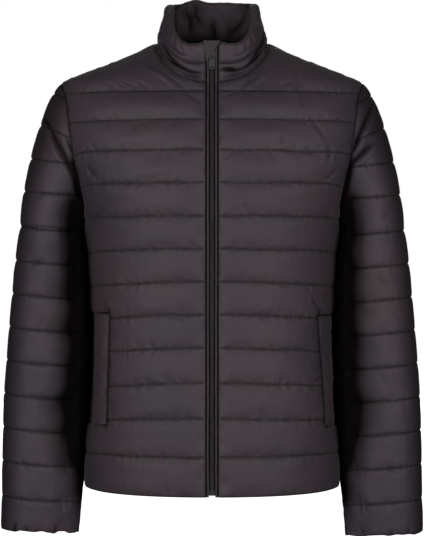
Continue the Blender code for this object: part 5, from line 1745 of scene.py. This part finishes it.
WELT_ROWS = 90
WELT_STEPS = 20
WELT_OUT = np.array((0.42, -0.9, 0.0))      # roughly out of the cloth where the welts lie
WELT_BACK, WELT_EDGE, WELT_SWELL = 0.35, 0.5, 2.4   # its two faces off the front, and its filling
TACK_LEVEL = 2.3         # how far out the bartacks' thread lies
TACK_PAST, TACK_SHORT = 6.0, 3.0        # past the seam, and short of the open edge
SEAM_LEVEL = 1.4         # the same for the stitches beside the welt
TOP_TACKS, FOOT_TACKS = (0.8, -0.4), (3.4, 2.2, -0.2, -1.4)
bartacks = []
for name, side, flip in (("welt_left", "left", 1.0), ("welt_right", "right", -1.0)):
    top, foot, _, _ = WELTS[side]
    heights = np.linspace(foot, top, WELT_ROWS)[:, None]
    seam, opening = welt_edges(side, heights)
    across = np.linspace(0, 1, WELT_STEPS)[None, :]
    x = mix(seam, opening, across)
    grid = torso_point(FRONT, heights + 0.0 * x, turn_at(FRONT, heights, x))
    normals = grid_normals(grid, np.array((0.0, FRONT, 0.0)))
    inward = lengths_across(grid)
    down = (heights - foot) + 0.0 * x
    rise = WELT_EDGE + WELT_SWELL * (1 - np.exp(-inward / 4.5)) * near_edge(inward[:, -1:] - inward, 4.0)
    ends = np.minimum(down, (top - foot) - down)
    rise = WELT_EDGE + (rise - WELT_EDGE) * mix(0.3, 1.0, near_edge(ends, 5.0))
    rise += 0.9 * lattice(95 + int(flip), down / 17 + inward / 22, inward / 14) * near_edge(inward, 6.0)
    rise += 0.5 * lattice(97 + int(flip), down / 6 - inward / 8, inward / 9) * near_edge(inward, 6.0)
    # Painted shade in the seam along the welt's inner edge and at its ends
    painted_shade = np.maximum(0.9 * np.exp(-inward / 1.5), 0.95 * np.exp(-ends / 1.8))
    outer = grid + normals * rise[..., None]
    inner = grid + normals * WELT_BACK
    outer[..., 0] *= flip
    inner[..., 0] *= flip
    quilt = np.stack((down * MM, OFF_THE_LINES + 0.0 * down), -1)
    item = closed_wall(name + "_strip", outer, inner, shell, quilt=quilt, painted_shade=painted_shade)
    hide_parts(name)
    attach(item, "jacket")
    for height in [top + level for level in TOP_TACKS] + [foot + level for level in FOOT_TACKS]:
        seam, opening = welt_edges(side, height)
        reach = np.linspace(seam - TACK_PAST, opening - TACK_SHORT, 40)
        line = torso_point(FRONT, height + 0.0 * reach, turn_at(FRONT, height + 0.0 * reach, reach))
        line = line + WELT_OUT * TACK_LEVEL
        bartacks.append((line * (flip, 1.0, 1.0), (WELT_OUT + 0.0 * line) * (flip, 1.0, 1.0)))
    height = np.linspace(top + 10.0, foot - 1.0, 90)
    reach = welt_edges(side, height)[0] + 1.2
    line = torso_point(FRONT, height, turn_at(FRONT, height, reach)) + WELT_OUT * SEAM_LEVEL
    sewn_rows.append((line * (flip, 1.0, 1.0), (WELT_OUT + 0.0 * line) * (flip, 1.0, 1.0)))

# ---------------------------------------------------------------- stitching
# Lockstitch in a thread close to the cloth's colour, about three stitches to the centimetre.
# It is drawn near black, as painted shade for the hollows of the stitch lines. Every stitch
# is a small lozenge of thread, sunk at both of its ends.

STITCH_PITCH = 3.3
STITCH_LENGTH = 2.7
STITCH_WIDTH = 0.7
STITCH_HEIGHT = 0.3
STITCH_DIP = 0.3         # how deep its ends go
STITCH_PROUD = 0.1
TACK_PITCH = 1.6
TACK_THICKNESS = 2.2     # of a bartack's thread, in stitch widths
THREAD_TWIST = 1.111
thread, tree, shader = new_material("polyester_thread")
place = add_node(tree, "ShaderNodeTexCoord")
twist = add_node(tree, "ShaderNodeTexNoise", {"Scale": per_metre(THREAD_TWIST), "Detail": 1.0},
                 Vector=place.outputs["Object"])
tone = two_tone(tree, twist.outputs["Fac"], "#0e0c0d", "#1d191b")
tree.links.new(tone.outputs["Color"], shader.inputs["Base Color"])
shader.inputs["Roughness"].default_value = 0.65
shader.inputs["Specular IOR Level"].default_value = 0.2


def sew(name, lines, material, pitch=STITCH_PITCH, thick=1.0):
    """Stitches along lines of points, each with the cloth's outward direction."""
    half, wide, high = STITCH_LENGTH / 2, STITCH_WIDTH / 2 * thick, STITCH_HEIGHT * thick
    shape = np.array(((-half, 0, -STITCH_DIP), (half, 0, -STITCH_DIP), (0, wide, 0), (0, -wide, 0),
                      (0, 0, high), (0, 0, -high)))
    facets = np.array(((0, 3, 4), (3, 1, 4), (1, 2, 4), (2, 0, 4),
                       (3, 0, 5), (1, 3, 5), (2, 1, 5), (0, 2, 5)))
    points, faces = [], []
    for line, out in lines:
        run = np.concatenate(((0.0,), np.cumsum(np.linalg.norm(np.diff(line, axis=0), axis=1))))
        if run[-1] < 2 * pitch:
            continue
        middles = np.arange(pitch, run[-1] - pitch / 2, pitch)
        centre = np.stack([np.interp(middles, run, line[:, axis]) for axis in range(3)], -1)
        ahead = np.stack([np.interp(middles + 1, run, line[:, axis]) for axis in range(3)], -1)
        normal = unit(np.stack([np.interp(middles, run, out[:, axis]) for axis in range(3)], -1))
        forward = unit(ahead - centre)
        sideways = unit(np.cross(normal, forward))
        axes = np.stack((forward, sideways, normal), 1)
        placed = centre[:, None] + np.einsum("sk,nkj->nsj", shape, axes) + normal[:, None] * STITCH_PROUD
        count = sum(len(block) for block in points)
        points.append(placed.reshape(-1, 3))
        faces.append((facets[None] + (count + 6 * np.arange(len(middles)))[:, None, None]).reshape(-1, 3))
    mesh = bpy.data.meshes.new(name)
    mesh.from_pydata((np.concatenate(points) * MM).tolist(), [], np.concatenate(faces).tolist())
    mesh.shade_smooth()
    mesh.materials.append(material)
    return new_item(name, mesh)


item = sew("bartacks", bartacks, thread, pitch=TACK_PITCH, thick=TACK_THICKNESS)
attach(item, "jacket")
item = sew("quilting_stitches", sewn_rows, thread)
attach(item, "jacket")
